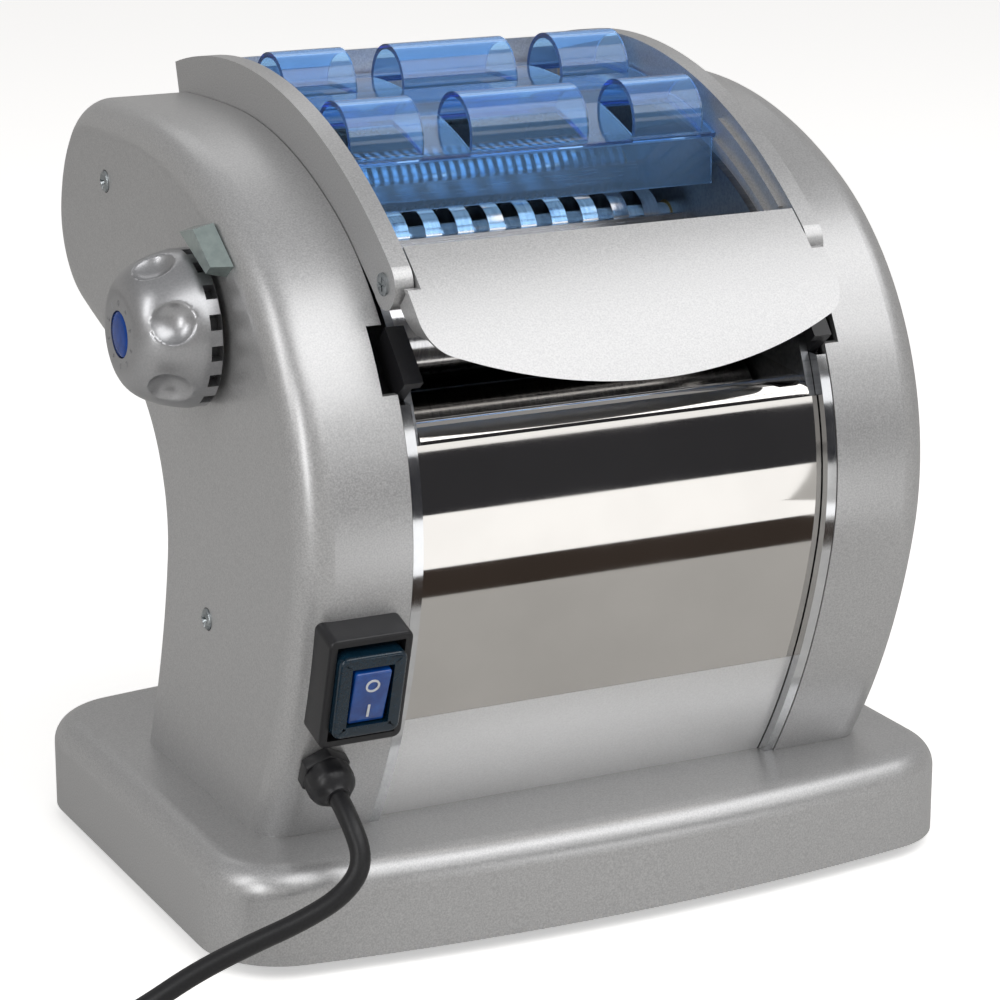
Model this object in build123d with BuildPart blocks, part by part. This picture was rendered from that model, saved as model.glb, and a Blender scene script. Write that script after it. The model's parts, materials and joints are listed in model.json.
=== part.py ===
"""Electric pasta maker: every rigid piece and its soft cord, one STEP file per node.

Sizes are millimetres, Z is up, the front is -Y and the roller knob is on -X.
The pieces are modelled about the middle of the base, and `keep` moves them so
that the finished object's box is centred on X = Y = 0 with the feet at Z = 0.
"""

import os
from math import acos, copysign, cos, degrees, hypot, pi, radians, sin, sqrt, tan

from build123d import *

os.makedirs("parts", exist_ok=True)

# ---------------------------------------------------------------- clearances
RUNNING_FIT = 0.05  # radial clearance of a shaft in its bush
THREAD_FIT = 0.05  # radial gap of a screw in its hole
SIDE_GAP = 0.2  # free space beside a part that turns or slides
FACE_GAP = 0.1  # gap between two parts that are only screwed together

# ---------------------------------------------------------------- base
BASE_HALF_WIDTH = 150.0
BASE_FRONT_CREST = -108.0
BASE_REAR_CREST = 121.0
BASE_BOW = 14.0  # how far the front and rear edges bow out at the middle
BASE_CORNER = 32.0
BASE_FLOOR = 5.0
BASE_TOP = 40.0
BASE_EDGE = 10.0
BASE_WALL = 3.0
FOOT_X = 116.0
FOOT_Y = 77.0
FOOT_RADIUS = 12.5

# ---------------------------------------------------------------- side outline
OUTLINE_START = (-64.4, 36.2)
OUTLINE_HEADING = 124.0
OUTLINE_ARCS = (
    (265.8, -22.0),  # foot and lower front
    (117.6, -73.7),  # belly
    (198.2, -28.0),  # top, about the same centre as the cheeks
    (744.9, -3.5),
    (41.7, -44.0),  # rear lobe
    (60.0, -32.2),
    (36.6, -81.0),
    (486.8, -5.2),  # under the lobe
    (54.4, 85.3),  # throat
    (305.4, 17.0),  # rear foot
)

# ---------------------------------------------------------------- sides
HOUSING_INNER = 84.3
HOUSING_OUTER = 125.0
HOUSING_EDGE = 12.0
HOUSING_WALL = 2.6
PLATE_INNER = 77.0
PLATE_OUTER = 80.0
PLATE_SHRINK = 5.5  # the frame plates lie this far inside the side outline
CHEEK_OUTER = 84.0
COVER_HALF = PLATE_OUTER - SIDE_GAP  # half width of the sheets over the frame plates' edges

# ---------------------------------------------------------------- top arcs
TOP_CENTRE = (49.0, 83.0)
CHEEK_RADIUS_IN = 197.3
CHEEK_RADIUS_OUT = 215.0
CHEEK_FRONT = 40.2
CHEEK_REAR = -15.7
CHEEK_TIP = 9.0
TONGUE_RADIUS = 183.0
BRACKET_RADIUS_IN = 191.4
BRACKET_RADIUS_OUT = 195.2
BRACKET_FROM = 43.1
BRACKET_TO = 49.8
RAIL_LOW = 201.7
RAIL_HIGH = 209.0
RAIL_SIZE = 1.2

# ---------------------------------------------------------------- visor
VISOR_THICK = 2.0
VISOR_TOP_ANGLE = 38.0
VISOR_STEP_ANGLE = 42.9
VISOR_LOW_ANGLE = 49.0
VISOR_SMILE_ANGLE = 54.5
VISOR_HALF = 81.4
VISOR_NECK_HALF = 76.4
VISOR_CORNER = 12.0
VISOR_FLANGE = 9.0

# ---------------------------------------------------------------- guard
GUARD_RADIUS = 202.0
GUARD_THICK = 2.0
GUARD_FRONT = 22.6
GUARD_REAR = -12.6
GUARD_HALF = 75.8
RIDGE_RADIUS = 15.0
RIDGE_ANGLES = (17.8, 1.3)
RIDGE_SPANS = ((-71.0, -42.5), (-23.5, 23.5), (42.5, 71.0))
APRON_LOW = 252.5
APRON_HALF = 74.8

# ---------------------------------------------------------------- rollers, cutters
ROLLER_RADIUS = 14.85
ROLLER_SPACING = 30.0
ROLLER_HALF = 75.5
KNOB_AXIS = (-20.0, 217.0)
NIP_ANGLE = 185.0  # direction from the adjustable roller to the fixed one
GAP_STROKE = 1.83
WIDE_FRONT = (10.0, 233.0)
WIDE_ANGLE = -42.0
FINE_FRONT = (48.0, 247.0)
FINE_ANGLE = -40.0
CUTTER_SPACING = 22.0
CUTTER_RADIUS = 11.7
CUTTER_CORE = 5.5
WIDE_PITCH = 13.0
FINE_PITCH = 4.0
BLADE_GAP = 0.04  # gap at each side of an interleaved disc
JOURNAL = 4.0
ROLLER_JOURNAL = 5.0
BUSH_WALL = 2.5

# ---------------------------------------------------------------- gears
PLANE_ONE = (84.5, 92.0)
PLANE_TWO = (94.0, 102.0)
MODULE = 1.0
ROLLER_MODULE = 1.5
ROLLER_TEETH = 20
DRIVEN_TEETH = 30
CUTTER_TEETH = 22
BIG_IDLER_TEETH = 60
SMALL_IDLER_TEETH = 24
PINION_TEETH = 24
TOOTH_THINNING = 0.12
PRESSURE_ANGLE = radians(20.0)
PINION_DIRECTION = -95.0

# ---------------------------------------------------------------- roller knob
KNOB_BACK = -128.0
KNOB_FACE = -152.0
KNOB_CAP = -156.0
KNOB_RIM = 28.0
KNOB_RIM_DEPTH = 5.0
KNOB_FACE_RADIUS = 18.0
SLOT_COUNT = 16
SLOT_SIZE = 4.5
SLOT_PHASE = 7.5  # degrees the slots are turned round the axis
DENT_COUNT = 6
DENT_PHASE = -12.0  # degrees the dents are turned round the axis
GAP_SHAFT = 5.0
ECCENTRIC = 4.0
ECCENTRICITY = 1.1
ECCENTRIC_HALF_TURN = 56.25
ECCENTRIC_PLAY = 0.09

# ---------------------------------------------------------------- switch, cord
SWITCH_X = -103.5
SWITCH_WIDTH = 31.0
SWITCH_HEIGHT = 44.0
SWITCH_Z = 109.5
GLAND_X = -110.0
GLAND_Z = 72.0
CORD_DIAMETER = 7.2
COIL_RADIUS = 40.0
COIL_WIDTH = 3 * CORD_DIAMETER
COIL_HEIGHT = 2 * CORD_DIAMETER
COIL_CENTRE = (-258.0, -187.0)


def polar(point, distance, angle):
    """Return the point at a distance and an angle in degrees from another one."""
    turn = radians(angle)
    return (point[0] + distance * cos(turn), point[1] + distance * sin(turn))


def top_point(radius, lean):
    """Return (Y, Z) on a top arc, lean degrees forward of its highest point."""
    return polar(TOP_CENTRE, radius, 90 + lean)


def gear_centre(first, first_teeth, second, second_teeth, teeth):
    """Return the lower centre of a module 1 gear that meshes with two others."""
    reach_first = (first_teeth + teeth) * MODULE / 2
    reach_second = (second_teeth + teeth) * MODULE / 2
    across, up = second[0] - first[0], second[1] - first[1]
    apart = hypot(across, up)
    along = (reach_first**2 - reach_second**2 + apart**2) / (2 * apart)
    aside = sqrt(reach_first**2 - along**2)
    side = copysign(aside, -across)
    return (
        first[0] + (along * across - side * up) / apart,
        first[1] + (along * up + side * across) / apart,
    )


ADJUST_AXIS = KNOB_AXIS
FIXED_AXIS = polar(ADJUST_AXIS, ROLLER_SPACING, NIP_ANGLE)
WIDE_REAR = polar(WIDE_FRONT, CUTTER_SPACING, WIDE_ANGLE)
FINE_REAR = polar(FINE_FRONT, CUTTER_SPACING, FINE_ANGLE)
BIG_IDLER_AXIS = gear_centre(WIDE_REAR, CUTTER_TEETH, FIXED_AXIS, DRIVEN_TEETH, BIG_IDLER_TEETH)
SMALL_IDLER_AXIS = gear_centre(WIDE_REAR, CUTTER_TEETH, FINE_REAR, CUTTER_TEETH, SMALL_IDLER_TEETH)
PINION_REACH = (BIG_IDLER_TEETH + PINION_TEETH) * MODULE / 2
MOTOR_AXIS = polar(BIG_IDLER_AXIS, PINION_REACH, PINION_DIRECTION)
VISOR_PIVOT = top_point(CHEEK_RADIUS_OUT - CHEEK_TIP, CHEEK_FRONT)
SLIDE_DIRECTION = NIP_ANGLE - 180.0

REAR_REACH = 137.5
FRONT_REACH = TOP_CENTRE[0] - CHEEK_RADIUS_OUT * sin(radians(VISOR_SMILE_ANGLE))
SHIFT_X = -(KNOB_CAP + BASE_HALF_WIDTH) / 2
SHIFT_Y = -(FRONT_REACH + REAR_REACH) / 2


def keep(builder, label):
    """Move a finished piece into the shared frame and write its STEP file."""
    builder.part = builder.part.moved(Location((SHIFT_X, SHIFT_Y, 0)))
    builder.part.label = label
    export_step(builder.part, f"parts/{label}.step")


def side_plane(x, point=(0.0, 0.0)):
    """Return a plane across X, with its own x along Y and its own y up."""
    return Plane(origin=(x, point[0], point[1]), x_dir=(0, 1, 0), z_dir=(1, 0, 0))


def draw_outline(shrink=0.0, floor=BASE_TOP, mode=Mode.ADD):
    """Draw the side outline in the open sketch, shrink mm inside itself."""
    heading = radians(OUTLINE_HEADING)
    with BuildLine() as lines:
        point = Vector(
            OUTLINE_START[0] + shrink * sin(heading),
            OUTLINE_START[1] - shrink * cos(heading),
        )
        first = point
        tangent = Vector(cos(heading), sin(heading))
        for radius, turn in OUTLINE_ARCS:
            arc = JernArc(point, tangent, radius + copysign(shrink, turn), turn)
            point, tangent = arc @ 1, arc % 1
        Line(point, first)
    make_face(lines.edges(), mode=mode)
    with Locations((0, floor + 200)):
        Rectangle(400, 400, mode=Mode.INTERSECT)



def outline_at(height, shrink):
    """Return the point and the tangent of the front outline at a height."""
    heading = radians(OUTLINE_HEADING)
    point = Vector(
        OUTLINE_START[0] + shrink * sin(heading),
        OUTLINE_START[1] - shrink * cos(heading),
    )
    direction = OUTLINE_HEADING
    for radius, turn in OUTLINE_ARCS[:2]:
        reach = radius + copysign(shrink, turn)
        centre = point + Vector(sin(radians(direction)), -cos(radians(direction))) * reach
        end = direction + turn
        top = centre.Y + reach * cos(radians(end))
        if height <= top:
            lean = degrees(acos((height - centre.Y) / reach))
            spot = centre + Vector(-sin(radians(lean)), cos(radians(lean))) * reach
            return spot, Vector(cos(radians(lean)), sin(radians(lean)))
        point = centre + Vector(-sin(radians(end)), cos(radians(end))) * reach
        direction = end
    raise ValueError("height above the front outline")


def draw_band(outer, inner, floor=BASE_TOP):
    """Draw the strip between two shrunk side outlines in the open sketch."""
    with BuildSketch(mode=Mode.PRIVATE) as hole:
        draw_outline(inner, floor - 20)
    draw_outline(outer, floor)
    add(hole.sketch, mode=Mode.SUBTRACT)


def draw_sector(radius_in, radius_out, start, end, mode=Mode.ADD):
    """Draw a stretch of ring about the top centre, angles forward of straight up."""
    with BuildLine() as lines:
        outer = CenterArc(TOP_CENTRE, radius_out, 90 + start, end - start)
        inner = CenterArc(TOP_CENTRE, radius_in, 90 + start, end - start)
        Line(outer @ 0, inner @ 0)
        Line(outer @ 1, inner @ 1)
    make_face(lines.edges(), mode=mode)


def window(low_y, high_y, low_z, high_z, mode=Mode.INTERSECT):
    """Cut the open sketch to a rectangle given by its limits."""
    with Locations(((low_y + high_y) / 2, (low_z + high_z) / 2)):
        Rectangle(high_y - low_y, high_z - low_z, mode=mode)


def ring_solid(x_low, x_high, point, radius, bore=0.0):
    """Add a disc or ring about an X axis to the open part."""
    with BuildSketch(side_plane(x_low, point)) as disc:
        Circle(radius)
        if bore:
            Circle(bore, mode=Mode.SUBTRACT)
    extrude(disc.sketch, amount=x_high - x_low)


# ------------------------------------------------------------------ base
def draw_base(inset=0.0):
    """Draw the base's bowed outline in the open sketch, inset mm inside itself."""
    with BuildLine() as lines:
        front = ThreePointArc(
            (-BASE_HALF_WIDTH, BASE_FRONT_CREST + BASE_BOW),
            (0, BASE_FRONT_CREST),
            (BASE_HALF_WIDTH, BASE_FRONT_CREST + BASE_BOW),
        )
        rear = ThreePointArc(
            (-BASE_HALF_WIDTH, BASE_REAR_CREST - BASE_BOW),
            (0, BASE_REAR_CREST),
            (BASE_HALF_WIDTH, BASE_REAR_CREST - BASE_BOW),
        )
        Line(front @ 0, rear @ 0)
        Line(front @ 1, rear @ 1)
    make_face(lines.edges())
    corners = [v for v in vertices() if abs(abs(v.X) - BASE_HALF_WIDTH) < 1]
    fillet(corners, BASE_CORNER)
    if inset:
        offset(amount=-inset, mode=Mode.REPLACE)


FOOT_GRID = [(x, y) for x in (-FOOT_X, FOOT_X) for y in (-FOOT_Y, FOOT_Y)]
PLATE_THICK = 2.5
BOSS_RADIUS = 6.0
SCREW_RADIUS = 1.85


def make_base():
    """Make the base shell, its bottom plate, the rubber feet and their screws."""
    with BuildPart() as base_cavity:
        with BuildSketch(Plane.XY):
            draw_base(BASE_WALL)
        extrude(amount=BASE_TOP - BASE_WALL)
        fillet(base_cavity.faces().sort_by(Axis.Z)[-1].edges(), BASE_EDGE - BASE_WALL)

    with BuildPart() as base_shell:
        with BuildSketch(Plane.XY.offset(BASE_FLOOR)):
            draw_base()
        extrude(amount=BASE_TOP - BASE_FLOOR)
        fillet(base_shell.faces().sort_by(Axis.Z)[-1].edges(), BASE_EDGE)
        add(base_cavity.part, mode=Mode.SUBTRACT)
        with BuildSketch(Plane.XY.offset(BASE_FLOOR + PLATE_THICK)):
            with Locations(*FOOT_GRID):
                Circle(BOSS_RADIUS)
        extrude(amount=BASE_TOP - BASE_WALL / 2 - BASE_FLOOR - PLATE_THICK)
        with BuildSketch(Plane.XY.offset(BASE_FLOOR)):
            with Locations(*FOOT_GRID):
                Circle(SCREW_RADIUS + THREAD_FIT)
        extrude(amount=25, mode=Mode.SUBTRACT)
    keep(base_shell, "base_shell")

    with BuildPart() as base_plate:
        with BuildSketch(Plane.XY.offset(BASE_FLOOR)):
            draw_base(BASE_WALL + FACE_GAP)
            with Locations(*FOOT_GRID):
                Circle(SCREW_RADIUS + THREAD_FIT, mode=Mode.SUBTRACT)
        extrude(amount=PLATE_THICK)
    keep(base_plate, "base_plate")

    with BuildPart() as feet:
        with BuildSketch(Plane.XY):
            with Locations(*FOOT_GRID):
                Circle(FOOT_RADIUS)
                Circle(SCREW_RADIUS + THREAD_FIT, mode=Mode.SUBTRACT)
        extrude(amount=BASE_FLOOR)
        chamfer(feet.faces().sort_by(Axis.Z)[:4].edges().filter_by(lambda e: e.radius > 5), 1)
        with BuildSketch(Plane.XY):
            with Locations(*FOOT_GRID):
                Circle(5)
        extrude(amount=3, mode=Mode.SUBTRACT)
    keep(feet, "rubber_feet")

    with BuildPart() as foot_screws:
        with BuildSketch(Plane.XY.offset(0.8)):
            with Locations(*FOOT_GRID):
                Circle(4)
        extrude(amount=2.2)
        with BuildSketch(Plane.XY.offset(3)):
            with Locations(*FOOT_GRID):
                Circle(SCREW_RADIUS)
        extrude(amount=22)
    keep(foot_screws, "foot_screws")


# ------------------------------------------------------------------ housings
SIDE_SCREWS = ((75.8, 252.3), (-17.6, 108.2))
HEAD_RADIUS = 4.0
KNOB_BUSH_RADIUS = 8.0
BRACKET_WINDOW = (-90.0, 204.5, 226.0)
GLAND_THREAD = 6.0


def front_plane(x, height, depth=0.0):
    """Return the plane on the front band at a height, depth mm out of its surface."""
    point, tangent = outline_at(height, 0.0)
    normal = Vector(-tangent.Y, tangent.X)
    origin = point + normal * depth
    return Plane(origin=(x, origin.X, origin.Y), x_dir=(1, 0, 0), z_dir=(0, normal.X, normal.Y))


def switch_plane(depth=0.0):
    """Return the plane of the switch, depth mm out of the front band."""
    return front_plane(SWITCH_X, SWITCH_Z, depth)


def gland_plane(depth=0.0):
    """Return the plane of the cord gland, depth mm out of the front band."""
    return front_plane(GLAND_X, GLAND_Z, depth)


def make_housing(side):
    """Make one hollow side housing, open towards the frame plate."""
    inner_low = -HOUSING_OUTER + HOUSING_WALL if side < 0 else HOUSING_INNER
    inner_high = -HOUSING_INNER if side < 0 else HOUSING_OUTER - HOUSING_WALL
    outer_axis = Axis.X if side > 0 else -Axis.X
    with BuildPart() as cavity:
        with BuildSketch(side_plane(inner_low)):
            draw_outline(HOUSING_WALL, BASE_TOP + HOUSING_WALL)
        extrude(amount=inner_high - inner_low)
        rounded = cavity.faces().sort_by(outer_axis)[-1].edges()
        rounded = rounded.filter_by(lambda e: e.center().Z > BASE_TOP + HOUSING_WALL + 1)
        fillet(rounded, HOUSING_EDGE - HOUSING_WALL)

    outer_low = -HOUSING_OUTER if side < 0 else HOUSING_INNER
    with BuildPart() as housing:
        with BuildSketch(side_plane(outer_low)):
            draw_outline()
        extrude(amount=HOUSING_OUTER - HOUSING_INNER)
        rounded = housing.faces().sort_by(outer_axis)[-1].edges()
        rounded = rounded.filter_by(lambda e: e.center().Z > BASE_TOP + 1)
        fillet(rounded, HOUSING_EDGE)
        add(cavity.part, mode=Mode.SUBTRACT)
        window_x, window_low, window_high = BRACKET_WINDOW
        window_middle = (window_low + window_high) / 2
        with Locations((side * (HOUSING_INNER - window_x) / 2, -90, window_middle)):
            Box(-window_x - HOUSING_INNER, 50, window_high - window_low, mode=Mode.SUBTRACT)
        wall_low = -HOUSING_OUTER - 1 if side < 0 else HOUSING_OUTER - HOUSING_WALL - 1
        with BuildSketch(side_plane(wall_low)):
            with Locations(*SIDE_SCREWS):
                Circle(SCREW_RADIUS + SIDE_GAP)
            if side < 0:
                with Locations(KNOB_AXIS):
                    Circle(KNOB_BUSH_RADIUS)
        extrude(amount=HOUSING_WALL + 2, mode=Mode.SUBTRACT)
        seat_low = -HOUSING_OUTER if side < 0 else HOUSING_OUTER - 1
        with BuildSketch(side_plane(seat_low)):
            with Locations(*SIDE_SCREWS):
                Circle(HEAD_RADIUS + 0.3)
        extrude(amount=1, mode=Mode.SUBTRACT)
        if side < 0:
            with BuildSketch(switch_plane(12)):
                Rectangle(SWITCH_WIDTH - 6, SWITCH_HEIGHT - 6)
            extrude(amount=-24, mode=Mode.SUBTRACT)
            with BuildSketch(gland_plane(12)):
                Circle(GLAND_THREAD + THREAD_FIT)
            extrude(amount=-24, mode=Mode.SUBTRACT)
    keep(housing, "housing_left" if side < 0 else "housing_right")


def make_housing_screws():
    """Make the posts on the frame plates and the screws through the housings."""
    with BuildPart() as posts:
        for low in (-HOUSING_OUTER + HOUSING_WALL, PLATE_OUTER):
            for point in SIDE_SCREWS:
                ring_solid(low, low + HOUSING_OUTER - HOUSING_WALL - PLATE_OUTER, point, 4.5)
        for low in (-HOUSING_OUTER, HOUSING_OUTER - 16):
            with BuildSketch(side_plane(low)):
                with Locations(*SIDE_SCREWS):
                    Circle(SCREW_RADIUS + THREAD_FIT)
            extrude(amount=16, mode=Mode.SUBTRACT)
    keep(posts, "housing_posts")

    with BuildPart() as screws:
        for side in (-1, 1):
            head_low = -HOUSING_OUTER - 0.8 if side < 0 else HOUSING_OUTER - 1
            shank_low = -HOUSING_OUTER + 1 if side < 0 else HOUSING_OUTER - 13
            for point in SIDE_SCREWS:
                ring_solid(head_low, head_low + 1.8, point, HEAD_RADIUS)
                ring_solid(shank_low, shank_low + 12, point, SCREW_RADIUS)
            slot_x = -HOUSING_OUTER - 0.8 if side < 0 else HOUSING_OUTER
            with BuildSketch(side_plane(slot_x)):
                with Locations(*SIDE_SCREWS):
                    Rectangle(5, 1)
                    Rectangle(1, 5)
            extrude(amount=0.8, mode=Mode.SUBTRACT)
    keep(screws, "housing_screws")


# ------------------------------------------------------------------ frame
BLOCK_HALF = 10.0
SLOT_FIT = 0.06
ROD_RADIUS = 4.0
ROD_POINTS = ((-84.0, 128.0), (20.0, 60.0), (30.0, 190.0), (96.0, 262.0))
CUTTER_AXES = (WIDE_FRONT, WIDE_REAR, FINE_FRONT, FINE_REAR)


def slide_frame(point, x=0.0):
    """Return a plane across X, turned to the sliding direction of the roller blocks."""
    turn = radians(SLIDE_DIRECTION)
    return Plane(origin=(x, point[0], point[1]), x_dir=(0, cos(turn), sin(turn)), z_dir=(1, 0, 0))


def make_frame_plate(side):
    """Make one steel side plate with its bush holes and the roller block's slot."""
    low = -PLATE_OUTER if side < 0 else PLATE_INNER
    thick = PLATE_OUTER - PLATE_INNER
    slot_middle = polar(ADJUST_AXIS, GAP_STROKE / 2, SLIDE_DIRECTION)
    with BuildPart() as plate:
        with BuildSketch(side_plane(low)):
            draw_outline(PLATE_SHRINK)
            with Locations(*CUTTER_AXES):
                Circle(JOURNAL + BUSH_WALL, mode=Mode.SUBTRACT)
            with Locations(FIXED_AXIS):
                Circle(ROLLER_JOURNAL + BUSH_WALL, mode=Mode.SUBTRACT)
            with Locations(*ROD_POINTS):
                Circle(ROD_RADIUS - 1 + THREAD_FIT, mode=Mode.SUBTRACT)
            if side > 0:
                with Locations(MOTOR_AXIS):
                    Circle(12, mode=Mode.SUBTRACT)
                with Locations(BIG_IDLER_AXIS, SMALL_IDLER_AXIS):
                    Circle(JOURNAL - 1, mode=Mode.SUBTRACT)
        extrude(amount=thick)
        with BuildSketch(slide_frame(slot_middle, low)):
            Rectangle(2 * BLOCK_HALF + GAP_STROKE + 2 * SLOT_FIT, 2 * (BLOCK_HALF + SLOT_FIT))
        extrude(amount=thick, mode=Mode.SUBTRACT)
        foot_x = side * (PLATE_INNER - 7)
        with Locations((foot_x, 0, BASE_TOP + 1.5)):
            Box(14, 90, 3)
    keep(plate, "frame_plate_left" if side < 0 else "frame_plate_right")


def make_tie_rods():
    """Make the tie rods that hold the two frame plates apart."""
    with BuildPart() as rods:
        for point in ROD_POINTS:
            ring_solid(-PLATE_INNER, PLATE_INNER, point, ROD_RADIUS)
            ring_solid(-PLATE_OUTER - 2.5, PLATE_OUTER + 2.5, point, ROD_RADIUS - 1)
    keep(rods, "tie_rods")


def make_bushes():
    """Make the brass bushes of the fixed roller and the four cutter shafts."""
    with BuildPart() as bushes:
        for low in (-PLATE_OUTER, PLATE_INNER):
            for point in CUTTER_AXES:
                ring_solid(low, low + 3, point, JOURNAL + BUSH_WALL, JOURNAL + RUNNING_FIT)
            ring_solid(
                low, low + 3, FIXED_AXIS, ROLLER_JOURNAL + BUSH_WALL, ROLLER_JOURNAL + RUNNING_FIT
            )
    keep(bushes, "shaft_bushes")


def make_cheek(side):
    """Make one raised side cheek with its rails and the tongue behind the housing."""
    low = -CHEEK_OUTER if side < 0 else PLATE_INNER
    tongue_low = -CHEEK_OUTER if side < 0 else PLATE_OUTER
    rail_low = -PLATE_INNER if side < 0 else PLATE_INNER - RAIL_SIZE - 0.6
    with BuildPart() as cheek:
        with BuildSketch(side_plane(low)):
            draw_sector(CHEEK_RADIUS_IN, CHEEK_RADIUS_OUT, CHEEK_REAR, CHEEK_FRONT)
            with Locations(VISOR_PIVOT):
                Circle(CHEEK_TIP)
                Circle(2.5, mode=Mode.SUBTRACT)
        extrude(amount=CHEEK_OUTER - PLATE_INNER)
        with BuildSketch(side_plane(tongue_low)):
            draw_sector(TONGUE_RADIUS, CHEEK_RADIUS_IN + 1, CHEEK_REAR + 6, CHEEK_FRONT - 6)
            with Locations(*ROD_POINTS):
                Circle(ROD_RADIUS + 1, mode=Mode.SUBTRACT)
        extrude(amount=CHEEK_OUTER - PLATE_OUTER)
        with BuildSketch(side_plane(rail_low)):
            draw_sector(RAIL_LOW - RAIL_SIZE, RAIL_LOW, CHEEK_REAR + 3, VISOR_TOP_ANGLE - 1.5)
            draw_sector(RAIL_HIGH, RAIL_HIGH + RAIL_SIZE, GUARD_FRONT, VISOR_TOP_ANGLE - 1.5)
        extrude(amount=RAIL_SIZE + 0.6)
    keep(cheek, "cheek_left" if side < 0 else "cheek_right")


def make_brackets():
    """Make the two black brackets that fill the corner under the cheek tips."""
    with BuildPart() as brackets:
        for side in (-1, 1):
            lip_low = -CHEEK_OUTER if side < 0 else PLATE_INNER
            with BuildSketch(side_plane(lip_low)):
                draw_sector(BRACKET_RADIUS_IN, BRACKET_RADIUS_OUT, BRACKET_FROM, BRACKET_TO)
                draw_outline(PLATE_SHRINK - FACE_GAP, mode=Mode.SUBTRACT)
            extrude(amount=CHEEK_OUTER - PLATE_INNER)
            tongue_low = -CHEEK_OUTER if side < 0 else PLATE_OUTER
            with BuildSketch(side_plane(tongue_low)):
                draw_sector(TONGUE_RADIUS, BRACKET_RADIUS_OUT, BRACKET_FROM, BRACKET_TO)
            extrude(amount=CHEEK_OUTER - PLATE_OUTER)
    keep(brackets, "corner_brackets")


# ------------------------------------------------------------------ sheets
TRIM_TOP = 201.0
SHEET_OUT = 4.2  # the front sheets lie this far inside the side outline
SHEET = 1.2
PANEL_TOP = 84.0
SLIDE_TURN = 186.0
ROLL_RADIUS = 9.0
ROLL_TURN = 70.0
ROLL_RUN = 58.0


def make_trims():
    """Make the two bright strips beside the slide plate."""
    with BuildPart() as trims:
        for side in (-1, 1):
            low = -CHEEK_OUTER if side < 0 else PLATE_OUTER + SIDE_GAP
            with BuildSketch(side_plane(low)):
                draw_band(0.4, 7.0, BASE_TOP)
                window(-120, -30, BASE_TOP, TRIM_TOP)
            extrude(amount=CHEEK_OUTER - PLATE_OUTER - SIDE_GAP)
    keep(trims, "front_trims")


def make_front_sheets():
    """Make the satin lower panel and the polished slide plate above it."""
    with BuildPart() as front_panel:
        with BuildSketch(side_plane(-COVER_HALF)):
            draw_band(SHEET_OUT, SHEET_OUT + SHEET)
            window(-120, -30, BASE_TOP, PANEL_TOP)
        extrude(amount=2 * COVER_HALF)
    keep(front_panel, "front_panel")

    with BuildPart() as slide_plate:
        with BuildSketch(side_plane(-COVER_HALF)):
            draw_band(SHEET_OUT, SHEET_OUT + SHEET)
            window(-120, -30, PANEL_TOP + FACE_GAP, SLIDE_TURN + 0.4)
        extrude(amount=2 * COVER_HALF)
        with BuildSketch(side_plane(-PLATE_INNER + FACE_GAP)):
            with BuildLine() as roll:
                crest = JernArc(SLIDE_START, SLIDE_TANGENT, ROLL_RADIUS, -ROLL_TURN)
                Line(crest @ 1, crest @ 1 + (crest % 1) * ROLL_RUN)
            trace(roll.line, SHEET)
        extrude(amount=2 * (PLATE_INNER - FACE_GAP))
    keep(slide_plate, "slide_plate")


SLIDE_START, SLIDE_TANGENT = outline_at(SLIDE_TURN, SHEET_OUT + SHEET / 2)

LIP_Y = 99.0
LIP_TOP = 291.0
LIP_FOOT = 277.0
LIP_REAR = 107.6
VENT_WIDTH = 3.0
VENT_HEIGHT = 40.0
VENT_Z = 90.0
VENT_COUNT = 9


def make_rear_cover():
    """Make the rear cover that follows the lobe, with its upright top lip and vents."""
    with BuildPart() as cover:
        with BuildSketch(side_plane(-COVER_HALF)):
            draw_band(SHEET_OUT, SHEET_OUT + SHEET)
            with BuildSketch(mode=Mode.PRIVATE) as rear_zone:
                window(LIP_REAR, 150, BASE_TOP, 300, mode=Mode.ADD)
                window(20, 150, BASE_TOP, 205, mode=Mode.ADD)
            add(rear_zone.sketch, mode=Mode.INTERSECT)
        extrude(amount=2 * COVER_HALF)
        with BuildSketch(side_plane(-PLATE_INNER + 0.6)):
            draw_band(SHEET_OUT, SHEET_OUT + SHEET)
            window(LIP_Y, LIP_REAR + 0.5, 250, 300)
        extrude(amount=2 * (PLATE_INNER - 0.6))
        with BuildSketch(side_plane(-PLATE_INNER + 0.6)):
            window(LIP_Y, LIP_Y + SHEET, LIP_FOOT - 3, LIP_TOP, mode=Mode.ADD)
        extrude(amount=2 * (PLATE_INNER - 0.6))
        with Locations((0, 60, VENT_Z)):
            with GridLocations(3 * VENT_WIDTH, 0, VENT_COUNT, 1):
                Box(VENT_WIDTH, 80, VENT_HEIGHT, mode=Mode.SUBTRACT)
    keep(cover, "rear_cover")


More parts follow.
